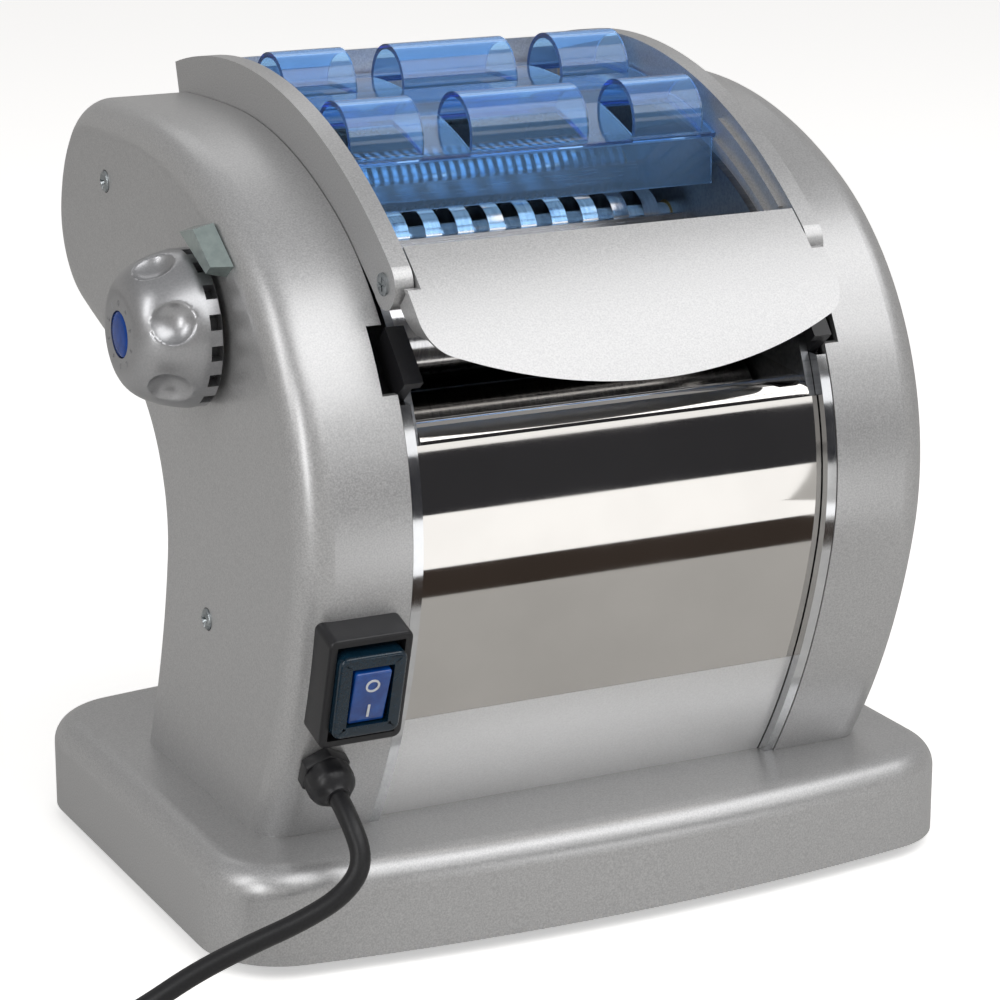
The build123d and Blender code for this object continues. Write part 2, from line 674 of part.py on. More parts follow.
# ------------------------------------------------------------------ visor
def make_visor():
    """Make the curved roller visor with its side flanges and pivot ears."""
    reach = CHEEK_RADIUS_OUT
    low_z = TOP_CENTRE[1] + reach * cos(radians(VISOR_SMILE_ANGLE))
    corner_z = TOP_CENTRE[1] + reach * cos(radians(VISOR_LOW_ANGLE))
    step_z = TOP_CENTRE[1] + reach * cos(radians(VISOR_STEP_ANGLE))
    top_z = TOP_CENTRE[1] + reach * cos(radians(VISOR_TOP_ANGLE))
    with BuildPart() as visor:
        with BuildSketch(side_plane(-VISOR_HALF)):
            draw_sector(reach - VISOR_THICK, reach, VISOR_TOP_ANGLE, VISOR_SMILE_ANGLE + 1)
        extrude(amount=2 * VISOR_HALF)
        for low in (-VISOR_HALF, VISOR_HALF - VISOR_THICK):
            with BuildSketch(side_plane(low)):
                draw_sector(reach - VISOR_FLANGE, reach, VISOR_STEP_ANGLE, VISOR_LOW_ANGLE + 1.5)
            extrude(amount=VISOR_THICK)
        with BuildSketch(Plane.XZ.offset(200)):
            with BuildLine():
                smile = ThreePointArc((-VISOR_HALF, corner_z), (0, low_z), (VISOR_HALF, corner_z))
                left = Line(smile @ 0, (-VISOR_HALF, step_z))
                left_step = Line(left @ 1, (-VISOR_NECK_HALF, step_z))
                left_neck = Line(left_step @ 1, (-VISOR_NECK_HALF, top_z))
                right = Line(smile @ 1, (VISOR_HALF, step_z))
                right_step = Line(right @ 1, (VISOR_NECK_HALF, step_z))
                right_neck = Line(right_step @ 1, (VISOR_NECK_HALF, top_z))
                Line(left_neck @ 1, right_neck @ 1)
            make_face()
            corners = vertices().filter_by(lambda v: abs(v.Y - corner_z) < 0.1)
            fillet(corners, VISOR_CORNER)
        extrude(amount=-200, mode=Mode.INTERSECT)
        for low in (-VISOR_NECK_HALF, VISOR_NECK_HALF - VISOR_THICK):
            with BuildSketch(side_plane(low)):
                draw_sector(
                    reach - CHEEK_TIP - 5, reach - 1, VISOR_TOP_ANGLE + 0.6, VISOR_STEP_ANGLE + 1.4
                )
                with Locations(VISOR_PIVOT):
                    Circle(2.0 + RUNNING_FIT, mode=Mode.SUBTRACT)
            extrude(amount=VISOR_THICK)
        for low in (-VISOR_HALF + 1, VISOR_NECK_HALF - 1):
            with BuildSketch(side_plane(low)):
                draw_sector(
                    reach - VISOR_FLANGE, reach - 1, VISOR_STEP_ANGLE + 0.6, VISOR_STEP_ANGLE + 1.4
                )
            extrude(amount=VISOR_HALF - VISOR_NECK_HALF)
    keep(visor, "visor")

    with BuildPart() as pins:
        for side in (-1, 1):
            neck = VISOR_NECK_HALF - VISOR_THICK - 0.8
            pin_low = -CHEEK_OUTER if side < 0 else neck
            ring_solid(pin_low, pin_low + CHEEK_OUTER - neck, VISOR_PIVOT, 2.0)
            head_low = -CHEEK_OUTER - 0.8 if side < 0 else CHEEK_OUTER
            ring_solid(head_low, head_low + 0.8, VISOR_PIVOT, HEAD_RADIUS)
            sleeve_low = -CHEEK_OUTER if side < 0 else PLATE_INNER
            ring_solid(sleeve_low, sleeve_low + CHEEK_OUTER - PLATE_INNER, VISOR_PIVOT, 2.5)
            slot_x = -CHEEK_OUTER - 0.8 if side < 0 else CHEEK_OUTER + 0.3
            with BuildSketch(side_plane(slot_x, VISOR_PIVOT)):
                Rectangle(5, 1)
                Rectangle(1, 5)
            extrude(amount=0.5, mode=Mode.SUBTRACT)
    keep(pins, "visor_pivot_screws")


# ------------------------------------------------------------------ guard
def make_guard():
    """Make the clear cutter guard: curved sheet, six finger ridges and front apron."""
    middle = GUARD_RADIUS + GUARD_THICK / 2
    with BuildPart() as guard:
        with BuildSketch(side_plane(-GUARD_HALF)):
            draw_sector(GUARD_RADIUS, GUARD_RADIUS + GUARD_THICK, GUARD_REAR, GUARD_FRONT)
        extrude(amount=2 * GUARD_HALF)
        for angle in RIDGE_ANGLES:
            for start, end in RIDGE_SPANS:
                with BuildSketch(side_plane(start, top_point(middle, angle))):
                    Circle(RIDGE_RADIUS)
                extrude(amount=end - start)
        for angle in RIDGE_ANGLES:
            for start, end in RIDGE_SPANS:
                with BuildSketch(side_plane(start, top_point(middle, angle))):
                    Circle(RIDGE_RADIUS - GUARD_THICK)
                extrude(amount=end - start, mode=Mode.SUBTRACT)
        with BuildSketch(side_plane(-GUARD_HALF)):
            draw_sector(150, GUARD_RADIUS, GUARD_REAR - 5, GUARD_FRONT + 5)
        extrude(amount=2 * GUARD_HALF, mode=Mode.SUBTRACT)
        front_y, front_z = top_point(GUARD_RADIUS, GUARD_FRONT)
        with BuildSketch(side_plane(-APRON_HALF)):
            window(front_y, front_y + GUARD_THICK, APRON_LOW, front_z + 1.5, mode=Mode.ADD)
        extrude(amount=2 * APRON_HALF)
    keep(guard, "cutter_guard")


# ------------------------------------------------------------------ gears
def involute(angle):
    """Return the involute function of a pressure angle."""
    return tan(angle) - angle


def mesh_phase(phase, teeth, direction, next_teeth):
    """Return the tooth phase of the next gear, direction degrees away."""
    return direction + 180 - teeth / next_teeth * (phase - direction) - 180 / next_teeth


def draw_gear(teeth, module, phase):
    """Draw a spur gear with involute flanks in the open sketch."""
    pitch = module * teeth / 2
    base = pitch * cos(PRESSURE_ANGLE)
    tip = pitch + 0.9 * module
    root = pitch - 1.15 * module
    half = (pi * module / 2 - TOOTH_THINNING) / 2 / pitch + involute(PRESSURE_ANGLE)

    def flank(radius):
        """Return the flank's angle from the tooth's middle at a radius."""
        return half - involute(acos(min(1.0, base / radius)))

    low = max(base, root + 0.01)
    radii = (root - 0.2, low, (low + tip) / 2, tip)
    right = [polar((0, 0), radius, -degrees(flank(max(radius, base)))) for radius in radii]
    left = [polar((0, 0), radius, degrees(flank(max(radius, base)))) for radius in radii]
    Circle(root)
    with BuildSketch(mode=Mode.PRIVATE) as tooth:
        with BuildLine():
            Line(right[0], right[1])
            ThreePointArc(right[1], right[2], right[3])
            ThreePointArc(right[3], (tip, 0), left[3])
            ThreePointArc(left[3], left[2], left[1])
            Line(left[1], left[0])
            Line(left[0], right[0])
        make_face()
    for index in range(teeth):
        add(tooth.sketch.rotate(Axis.Z, phase + 360 * index / teeth))


def make_gear(label, point, teeth, module, planes, phase, bore):
    """Make one gear over one or both gear planes and write its file."""
    with BuildPart() as gear:
        with BuildSketch(side_plane(planes[0], point)):
            draw_gear(teeth, module, phase)
            Circle(bore, mode=Mode.SUBTRACT)
        extrude(amount=planes[1] - planes[0])
    keep(gear, label)


def direction_between(first, second):
    """Return the direction in degrees from one point to another."""
    apart = hypot(second[0] - first[0], second[1] - first[1])
    angle = degrees(acos((second[0] - first[0]) / apart))
    return copysign(angle, second[1] - first[1])


def make_gears():
    """Make the gear train, each gear's rest phase following from the one before."""
    both = (PLANE_ONE[0], PLANE_TWO[1])
    fixed_phase = 0.0
    big_phase = mesh_phase(
        fixed_phase, DRIVEN_TEETH, direction_between(FIXED_AXIS, BIG_IDLER_AXIS), BIG_IDLER_TEETH
    )
    pinion_phase = mesh_phase(big_phase, BIG_IDLER_TEETH, PINION_DIRECTION, PINION_TEETH)
    wide_rear_phase = mesh_phase(
        big_phase, BIG_IDLER_TEETH, direction_between(BIG_IDLER_AXIS, WIDE_REAR), CUTTER_TEETH
    )
    wide_front_phase = mesh_phase(wide_rear_phase, CUTTER_TEETH, WIDE_ANGLE + 180, CUTTER_TEETH)
    small_phase = mesh_phase(
        wide_rear_phase,
        CUTTER_TEETH,
        direction_between(WIDE_REAR, SMALL_IDLER_AXIS),
        SMALL_IDLER_TEETH,
    )
    fine_rear_phase = mesh_phase(
        small_phase,
        SMALL_IDLER_TEETH,
        direction_between(SMALL_IDLER_AXIS, FINE_REAR),
        CUTTER_TEETH,
    )
    fine_front_phase = mesh_phase(fine_rear_phase, CUTTER_TEETH, FINE_ANGLE + 180, CUTTER_TEETH)
    adjust_phase = mesh_phase(fixed_phase, ROLLER_TEETH, NIP_ANGLE - 180, ROLLER_TEETH)

    journal, roller_journal = JOURNAL, ROLLER_JOURNAL
    make_gear("gear_fixed_roller", FIXED_AXIS, ROLLER_TEETH, ROLLER_MODULE, PLANE_ONE,
              fixed_phase, roller_journal)
    make_gear("gear_fixed_drive", FIXED_AXIS, DRIVEN_TEETH, MODULE, PLANE_TWO,
              fixed_phase, roller_journal)
    make_gear("gear_adjust_roller", ADJUST_AXIS, ROLLER_TEETH, ROLLER_MODULE, PLANE_ONE,
              adjust_phase, roller_journal)
    make_gear("gear_wide_front", WIDE_FRONT, CUTTER_TEETH, MODULE, PLANE_ONE,
              wide_front_phase, journal)
    make_gear("gear_wide_rear", WIDE_REAR, CUTTER_TEETH, MODULE, both, wide_rear_phase, journal)
    make_gear("gear_fine_front", FINE_FRONT, CUTTER_TEETH, MODULE, PLANE_ONE,
              fine_front_phase, journal)
    make_gear("gear_fine_rear", FINE_REAR, CUTTER_TEETH, MODULE, both, fine_rear_phase, journal)
    make_gear("idler_big", BIG_IDLER_AXIS, BIG_IDLER_TEETH, MODULE, PLANE_TWO,
              big_phase, journal + RUNNING_FIT)
    make_gear("idler_small", SMALL_IDLER_AXIS, SMALL_IDLER_TEETH, MODULE, PLANE_TWO,
              small_phase, journal + RUNNING_FIT)
    make_gear("motor_pinion", MOTOR_AXIS, PINION_TEETH, MODULE, PLANE_TWO, pinion_phase, journal)


def make_idler_axles():
    """Make the two stub axles of the idler gears, riveted into the right plate."""
    with BuildPart() as axles:
        for point in (BIG_IDLER_AXIS, SMALL_IDLER_AXIS):
            ring_solid(PLATE_INNER, PLATE_OUTER, point, JOURNAL - 1)
            ring_solid(PLATE_OUTER, PLANE_TWO[0] - SIDE_GAP, point, JOURNAL + 1)
            ring_solid(PLANE_TWO[0] - SIDE_GAP, PLANE_TWO[1] + SIDE_GAP, point, JOURNAL)
            ring_solid(PLANE_TWO[1] + SIDE_GAP, PLANE_TWO[1] + 2, point, JOURNAL + 2)
    keep(axles, "idler_axles")


# ------------------------------------------------------------------ rollers
def make_roller(label, point, right_end):
    """Make one smooth dough roller with its two journals."""
    with BuildPart() as roller:
        ring_solid(-ROLLER_HALF, ROLLER_HALF, point, ROLLER_RADIUS)
        chamfer(roller.edges().filter_by(GeomType.CIRCLE), 0.4)
        ring_solid(-PLATE_OUTER + FACE_GAP, right_end, point, ROLLER_JOURNAL)
    keep(roller, label)


def make_cutter(label, point, pitch, positions, right_end):
    """Make one cutter roller: a shaft with evenly spaced discs."""
    width = pitch / 2 - 2 * BLADE_GAP
    with BuildPart() as cutter:
        ring_solid(-PLATE_OUTER, right_end, point, JOURNAL)
        ring_solid(-PLATE_INNER + SIDE_GAP, PLATE_INNER - SIDE_GAP, point, CUTTER_CORE)
        for position in positions:
            ring_solid(position - width / 2, position + width / 2, point, CUTTER_RADIUS)
    keep(cutter, label)


def make_rollers():
    """Make both dough rollers and the four cutter rollers."""
    short, long = PLANE_ONE[1], PLANE_TWO[1]
    make_roller("fixed_roller", FIXED_AXIS, long)
    make_roller("adjust_roller", ADJUST_AXIS, short)
    wide_even = [WIDE_PITCH * index for index in range(-5, 6)]
    wide_odd = [WIDE_PITCH * (index + 0.5) for index in range(-6, 6)]
    fine_even = [FINE_PITCH * index for index in range(-18, 19)]
    fine_odd = [FINE_PITCH * (index + 0.5) for index in range(-19, 19)]
    make_cutter("wide_cutter_front", WIDE_FRONT, WIDE_PITCH, wide_even, short)
    make_cutter("wide_cutter_rear", WIDE_REAR, WIDE_PITCH, wide_odd, long)
    make_cutter("fine_cutter_front", FINE_FRONT, FINE_PITCH, fine_even, short)
    make_cutter("fine_cutter_rear", FINE_REAR, FINE_PITCH, fine_odd, long)


COMB_REACH = 7.2  # how near a comb's teeth come to the cutter's axis


def make_comb(label, axis, pitch, grooves, bar_low, bar_high, tooth_low, tooth_high):
    """Make one stripping comb: a bar between the plates with a tooth in each groove."""
    bar_y = axis[0] - CUTTER_RADIUS - 1.0
    width = pitch / 2 - 0.6
    with BuildPart() as comb:
        with BuildSketch(side_plane(-PLATE_INNER)):
            window(bar_y - 2, bar_y, axis[1] + bar_low, axis[1] + bar_high, mode=Mode.ADD)
        extrude(amount=2 * PLATE_INNER)
        for groove in grooves:
            with BuildSketch(side_plane(groove - width / 2)):
                window(
                    bar_y - 0.5,
                    axis[0] - COMB_REACH,
                    axis[1] + tooth_low,
                    axis[1] + tooth_high,
                    mode=Mode.ADD,
                )
            extrude(amount=width)
    keep(comb, label)


def make_combs():
    """Make the stripping combs of the wide and the fine cutter."""
    wide_grooves = [WIDE_PITCH * (index + 0.5) for index in range(-5, 5)]
    fine_grooves = [FINE_PITCH * (index + 0.5) for index in range(-18, 18)]
    make_comb("wide_comb", WIDE_FRONT, WIDE_PITCH, wide_grooves, -2.5, 4.0, 0.5, 3.0)
    make_comb("fine_comb", FINE_FRONT, FINE_PITCH, fine_grooves, -4.0, 3.0, 0.5, 2.5)


# ------------------------------------------------------------------ roller gap
EAR_THICK = 1.1
YOKE_DROP = 20.5
YOKE_RADIUS = 3.0
SLOT_BOSS = 4.0


def make_yoke():
    """Make the sliding yoke: two end blocks, their ears and the bar between them."""
    turn = SLIDE_DIRECTION
    rest_centre = polar(ADJUST_AXIS, -ECCENTRICITY * sin(radians(ECCENTRIC_HALF_TURN)), turn)
    bar = polar(ADJUST_AXIS, YOKE_DROP, turn - 90)
    with BuildPart() as yoke:
        for side in (-1, 1):
            block_low = -PLATE_OUTER if side < 0 else PLATE_INNER - FACE_GAP
            with BuildSketch(slide_frame(ADJUST_AXIS, block_low)):
                Rectangle(2 * BLOCK_HALF, 2 * BLOCK_HALF)
            extrude(amount=PLATE_OUTER - PLATE_INNER + FACE_GAP)
            ear_low = -PLATE_INNER + FACE_GAP if side < 0 else PLATE_INNER - FACE_GAP - EAR_THICK
            with BuildSketch(slide_frame(ADJUST_AXIS, ear_low)):
                with Locations((0, -(YOKE_DROP - 8) / 2)):
                    Rectangle(16, YOKE_DROP + 8 + 2 * YOKE_RADIUS)
            extrude(amount=EAR_THICK)
        ring_solid(-PLATE_INNER + FACE_GAP, PLATE_INNER - FACE_GAP, bar, YOKE_RADIUS)
        with BuildSketch(slide_frame(ADJUST_AXIS, -PLATE_OUTER - SLOT_BOSS)):
            Rectangle(16, 17)
        extrude(amount=SLOT_BOSS)
        with BuildSketch(slide_frame(rest_centre, -PLATE_OUTER - SLOT_BOSS)):
            Rectangle(2 * (ECCENTRIC + ECCENTRIC_PLAY), 2 * (ECCENTRIC + ECCENTRICITY) + 0.6)
        extrude(amount=SLOT_BOSS, mode=Mode.SUBTRACT)
        ring_solid_cut(-PLATE_OUTER, PLATE_OUTER + 1, ADJUST_AXIS, ROLLER_JOURNAL + RUNNING_FIT)
    keep(yoke, "roller_yoke")


def ring_solid_cut(x_low, x_high, point, radius):
    """Cut a round hole about an X axis from the open part."""
    with BuildSketch(side_plane(x_low, point)) as disc:
        Circle(radius)
    extrude(disc.sketch, amount=x_high - x_low, mode=Mode.SUBTRACT)


BEARING_PLATE = (-100.0, -97.0)
BEARING_POSTS = ((-38.0, 232.0), (-38.0, 202.0), (2.0, 217.0))


def make_gap_shaft():
    """Make the knob's shaft with its eccentric and the bearings that hold it."""
    centre = polar(KNOB_AXIS, ECCENTRICITY, SLIDE_DIRECTION - 90 - ECCENTRIC_HALF_TURN)
    with BuildPart() as shaft:
        ring_solid(-PLATE_OUTER - SLOT_BOSS - 0.3, -PLATE_OUTER - 0.3, centre, ECCENTRIC)
        ring_solid(KNOB_FACE + 4, -PLATE_OUTER - SLOT_BOSS - 0.3, KNOB_AXIS, GAP_SHAFT)
        with Locations((KNOB_FACE + 11, KNOB_AXIS[0] + GAP_SHAFT, KNOB_AXIS[1])):
            Box(14, 2.4, 12, mode=Mode.SUBTRACT)
    keep(shaft, "gap_shaft")

    with BuildPart() as bush:
        ring_solid(
            -HOUSING_OUTER - 1.6, -HOUSING_OUTER, KNOB_AXIS, KNOB_BUSH_RADIUS + 3,
            GAP_SHAFT + RUNNING_FIT,
        )
        ring_solid(
            -HOUSING_OUTER, -HOUSING_OUTER + 6, KNOB_AXIS, KNOB_BUSH_RADIUS,
            GAP_SHAFT + RUNNING_FIT,
        )
    keep(bush, "knob_bush")

    low, high = BEARING_PLATE
    with BuildPart() as bearing:
        with BuildSketch(side_plane(low)):
            with BuildLine():
                Polyline(*BEARING_POSTS, close=True)
            make_face()
            offset(amount=6, mode=Mode.REPLACE)
        extrude(amount=high - low)
        ring_solid(low - 4, low, KNOB_AXIS, 9)
        ring_solid_cut(low - 4, high, KNOB_AXIS, GAP_SHAFT + RUNNING_FIT)
        for point in BEARING_POSTS:
            ring_solid(high, -PLATE_OUTER, point, 3.5)
    keep(bearing, "knob_bearing")


def make_knob():
    """Make the roller gap knob: castellated rim, finger dents and a blue cap."""
    y, z = KNOB_AXIS
    bore_face = KNOB_FACE + 4 - FACE_GAP
    with BuildPart() as knob:
        with BuildSketch(Plane(origin=(0, y, z), x_dir=(1, 0, 0), z_dir=(0, -1, 0))):
            with BuildLine():
                rim = Line((KNOB_BACK, 0), (KNOB_BACK, KNOB_RIM))
                edge = Line(rim @ 1, (KNOB_BACK - KNOB_RIM_DEPTH, KNOB_RIM))
                side = ThreePointArc(edge @ 1, (KNOB_FACE + 9.5, 25.0), (KNOB_FACE, KNOB_FACE_RADIUS))
                face = Line(side @ 1, (KNOB_FACE, 0))
                Line(face @ 1, rim @ 0)
            make_face()
        revolve(axis=Axis((0, y, z), (1, 0, 0)))
        ring_solid_cut(KNOB_BACK - 9, KNOB_BACK, KNOB_AXIS, KNOB_RIM - 5)
        ring_solid(KNOB_BACK - 10, KNOB_BACK - 0.5, KNOB_AXIS, GAP_SHAFT + 4)
        with BuildSketch(side_plane(bore_face, KNOB_AXIS)):
            Circle(GAP_SHAFT + RUNNING_FIT)
            with Locations((GAP_SHAFT, 0)):
                Rectangle(2.4 - 2 * RUNNING_FIT, 12, mode=Mode.SUBTRACT)
        extrude(amount=14.0, mode=Mode.SUBTRACT)
        ring_solid_cut(bore_face + 13.9, KNOB_BACK, KNOB_AXIS, GAP_SHAFT + RUNNING_FIT)
        ring_solid_cut(KNOB_FACE, KNOB_FACE + 1.5, KNOB_AXIS, 9)
        with BuildSketch(side_plane(KNOB_BACK - SLOT_SIZE, KNOB_AXIS)):
            with PolarLocations(KNOB_RIM, SLOT_COUNT, SLOT_PHASE):
                Rectangle(12, SLOT_SIZE)
        extrude(amount=SLOT_SIZE, mode=Mode.SUBTRACT)
        for index in range(DENT_COUNT):
            angle = radians(360 / DENT_COUNT * index + DENT_PHASE)
            with Locations((KNOB_FACE + 9, y + 32.5 * sin(angle), z + 32.5 * cos(angle))):
                Sphere(10.5, mode=Mode.SUBTRACT)
    keep(knob, "gap_knob")

    with BuildPart() as cap:
        ring_solid(KNOB_CAP, KNOB_FACE + 1.5, KNOB_AXIS, 8.9)
        chamfer(cap.faces().sort_by(Axis.X)[0].edges(), 1.5)
    keep(cap, "knob_cap")

    with BuildPart() as lug:
        with BuildSketch(Plane(origin=(-HOUSING_OUTER, 0, 0), x_dir=(0, -1, 0), z_dir=(-1, 0, 0))):
            with BuildLine():
                Polyline((14.5, 251.5), (33.0, 256.0), (51.0, 244.0), (44.0, 239.0), close=True)
            make_face()
        extrude(amount=7.5, taper=12)
    keep(lug, "index_lug")


# ------------------------------------------------------------------ motor
CAN_RADIUS = 32.0
CAN_SPAN = (-52.0, 58.0)


def make_motor():
    """Make the gearmotor with its flange, and the shaft that carries the pinion."""
    with BuildPart() as motor:
        ring_solid(*CAN_SPAN, MOTOR_AXIS, CAN_RADIUS)
        chamfer(motor.edges().filter_by(GeomType.CIRCLE), 2)
        ring_solid(CAN_SPAN[1], PLATE_INNER, MOTOR_AXIS, CAN_RADIUS - 3)
        ring_solid(PLATE_INNER, PLATE_OUTER, MOTOR_AXIS, 12)
        ring_solid(CAN_SPAN[0] - 6, CAN_SPAN[0], MOTOR_AXIS, 12)
        ring_solid_cut(64, PLATE_OUTER, MOTOR_AXIS, JOURNAL + RUNNING_FIT)
    keep(motor, "gearmotor")

    with BuildPart() as shaft:
        ring_solid(64.5, PLANE_TWO[1], MOTOR_AXIS, JOURNAL)
    keep(shaft, "motor_shaft")


# ------------------------------------------------------------------ switch
BEZEL_DEPTH = 11.0
BOOT_DEPTH = 14.5
BOOT_WIDTH = 25.0
BOOT_HEIGHT = 33.0
ROCKER_WIDTH = 13.5
ROCKER_HEIGHT = 22.0
ROCKER_PIVOT = 8.0
ROCKER_TILT = 6.0
ROCKER_PLAY = 2.6
MARK = 0.4


def outward(plane):
    """Return the axis that a plane faces along."""
    return Axis(plane.origin, plane.z_dir)


def switch_box(width, height, low, high, mode=Mode.ADD):
    """Add or cut a box square to the switch plane, between two depths."""
    with BuildSketch(switch_plane(low)) as face:
        Rectangle(width, height)
    extrude(face.sketch, amount=high - low, mode=mode)


def make_switch():
    """Make the switch: bezel, sealing boot and the lit rocker with its marks."""
    well_width = ROCKER_WIDTH + 1.0
    well_height = ROCKER_HEIGHT + ROCKER_PLAY
    with BuildPart() as bezel:
        with BuildSketch(switch_plane()):
            RectangleRounded(SWITCH_WIDTH, SWITCH_HEIGHT, 3)
        extrude(amount=BEZEL_DEPTH)
        chamfer(bezel.faces().sort_by(outward(switch_plane()))[-1].edges(), 1)
        switch_box(SWITCH_WIDTH - 6.2, SWITCH_HEIGHT - 6.2, -16, 0)
        switch_box(BOOT_WIDTH, BOOT_HEIGHT, BEZEL_DEPTH - 4, BEZEL_DEPTH, Mode.SUBTRACT)
        switch_box(well_width, well_height, -1, BEZEL_DEPTH, Mode.SUBTRACT)
        with BuildSketch(side_plane(SWITCH_X - ROCKER_WIDTH / 2 - 2.0, pivot_point())):
            Circle(1.5 + RUNNING_FIT)
        extrude(amount=ROCKER_WIDTH + 4.0, mode=Mode.SUBTRACT)
    keep(bezel, "switch_bezel")

    with BuildPart() as boot:
        with BuildSketch(switch_plane(BEZEL_DEPTH - 4)):
            Rectangle(BOOT_WIDTH - 0.1, BOOT_HEIGHT - 0.1)
        extrude(amount=BOOT_DEPTH - BEZEL_DEPTH + 4)
        front = boot.faces().sort_by(outward(switch_plane()))[-1]
        chamfer(front.edges(), 2)
        switch_box(well_width, well_height, 0, BOOT_DEPTH + 1, Mode.SUBTRACT)
        with BuildSketch(side_plane(SWITCH_X - ROCKER_WIDTH / 2 - 2.0, pivot_point())):
            Circle(1.5 + RUNNING_FIT)
        extrude(amount=ROCKER_WIDTH + 4.0, mode=Mode.SUBTRACT)
    keep(boot, "switch_boot")

    tilted = switch_plane(ROCKER_PIVOT).rotated((ROCKER_TILT, 0, 0))
    with BuildPart() as rocker:
        with BuildSketch(tilted.offset(-5.0)):
            Rectangle(ROCKER_WIDTH, ROCKER_HEIGHT)
        extrude(amount=11.5)
        chamfer(rocker.faces().sort_by(outward(tilted))[-1].edges(), 0.6)
        with BuildSketch(side_plane(SWITCH_X - ROCKER_WIDTH / 2 - 1.8, pivot_point())):
            Circle(1.5)
        extrude(amount=ROCKER_WIDTH + 3.6)
    keep(rocker, "switch_rocker")

    with BuildPart() as marks:
        with BuildSketch(tilted.offset(6.5)):
            with Locations((0, 5.5)):
                Circle(2.6)
                Circle(1.9, mode=Mode.SUBTRACT)
            with Locations((0, -5.5)):
                Rectangle(0.8, 5.2)
        extrude(amount=MARK)
    keep(marks, "rocker_marks")


def pivot_point():
    """Return (Y, Z) of the rocker's pivot."""
    origin = switch_plane(ROCKER_PIVOT).origin
    return (origin.Y, origin.Z)


# ------------------------------------------------------------------ cord
GLAND_LENGTH = 15.0
PLUG_START = 26.0  # where the plug's collar meets the coil, from the coil's middle
PLUG_HEIGHT = 7.3
PLUG_COLLAR = 18.0
PLUG_BODY = (30.0, 14.0, 34.0)
PIN_PITCH = 19.0
PIN_LENGTH = 19.0
PIN_RADIUS = 2.2


def make_gland():
    """Make the cord gland: thread through the band, hexagon nut and domed cap."""
    with BuildPart() as gland:
        with BuildSketch(gland_plane(-HOUSING_WALL - 6)):
            Circle(GLAND_THREAD)
        extrude(amount=HOUSING_WALL + 6)
        with BuildSketch(gland_plane()):
            RegularPolygon(9.6, 6)
        extrude(amount=5)
        with BuildSketch(gland_plane(5)):
            Circle(8.4)
        extrude(amount=GLAND_LENGTH - 5, taper=9)
    keep(gland, "cord_gland")


def cord_route():
    """Return the cord's route from the gland to the coil on the floor."""
    start = gland_plane(GLAND_LENGTH)
    exit_point = start.origin
    floor = CORD_DIAMETER / 2 + 0.2
    return [
        exit_point,
        exit_point + start.z_dir * 13.0,
        Vector(-109.0, -118.5, 48.0),
        Vector(-117.0, -119.5, 38.0),
        Vector(-133.0, -119.0, 31.0),
        Vector(-152.0, -117.0, 25.0),
        Vector(-171.0, -115.5, 18.0),
        Vector(-190.0, -116.5, 9.5),
        Vector(-211.0, -120.0, floor + 0.1),
        Vector(-233.0, -129.0, floor),
        Vector(-252.0, -142.0, floor),
    ]


def make_cord():
    """Make the cord's free tube, its coil on the floor and the plug at the end."""
    points = cord_route()
    runs = [second - first for first, second in zip(points, points[1:])]
    radii = []
    for before, after in zip(runs, runs[1:]):
        shorter = min(before.length, after.length)
        radii.append(0.45 * shorter / tan(radians(before.get_angle(after)) / 2))
    print("cord radii", [round(radius, 1) for radius in radii])
    with BuildPart() as cord:
        with BuildLine() as route:
            FilletPolyline(*points, radius=radii)
        with BuildSketch(gland_plane(GLAND_LENGTH)):
            Circle(CORD_DIAMETER / 2)
        sweep(path=route.line)
    section = pi * CORD_DIAMETER**2 / 4
    length = sum(edge.length for edge in route.edges())
    print("cord tube length", round(length, 1), "volume ratio", cord.part.volume / section / length)
    keep(cord, "cord_flex")

    with BuildPart() as coil:
        with BuildSketch(Plane.XY.offset(0.1)):
            with Locations(COIL_CENTRE):
                Circle(COIL_RADIUS + COIL_WIDTH / 2)
                Circle(COIL_RADIUS - COIL_WIDTH / 2, mode=Mode.SUBTRACT)
        extrude(amount=COIL_HEIGHT)
        fillet(coil.edges().filter_by(GeomType.CIRCLE), CORD_DIAMETER / 2 - 0.1)
    keep(coil, "cord_coil")

    width, height, length = PLUG_BODY
    rear = COIL_CENTRE[0] + PLUG_START
    line = COIL_CENTRE[1] - COIL_RADIUS - COIL_WIDTH / 2 + CORD_DIAMETER / 2
    collar = Plane(origin=(rear, line, PLUG_HEIGHT), x_dir=(0, 1, 0), z_dir=(1, 0, 0))
    with BuildPart() as plug:
        with BuildSketch(collar):
            Circle(CORD_DIAMETER / 2 + 1.4)
        extrude(amount=PLUG_COLLAR)
        with BuildSketch(collar.offset(PLUG_COLLAR - 2)):
            RectangleRounded(width, height, 6)
        extrude(amount=length)
        with BuildSketch(collar.offset(PLUG_COLLAR - 2 + length)):
            with GridLocations(PIN_PITCH, 0, 2, 1):
                Circle(PIN_RADIUS)
        extrude(amount=PIN_LENGTH)
    keep(plug, "cord_plug")


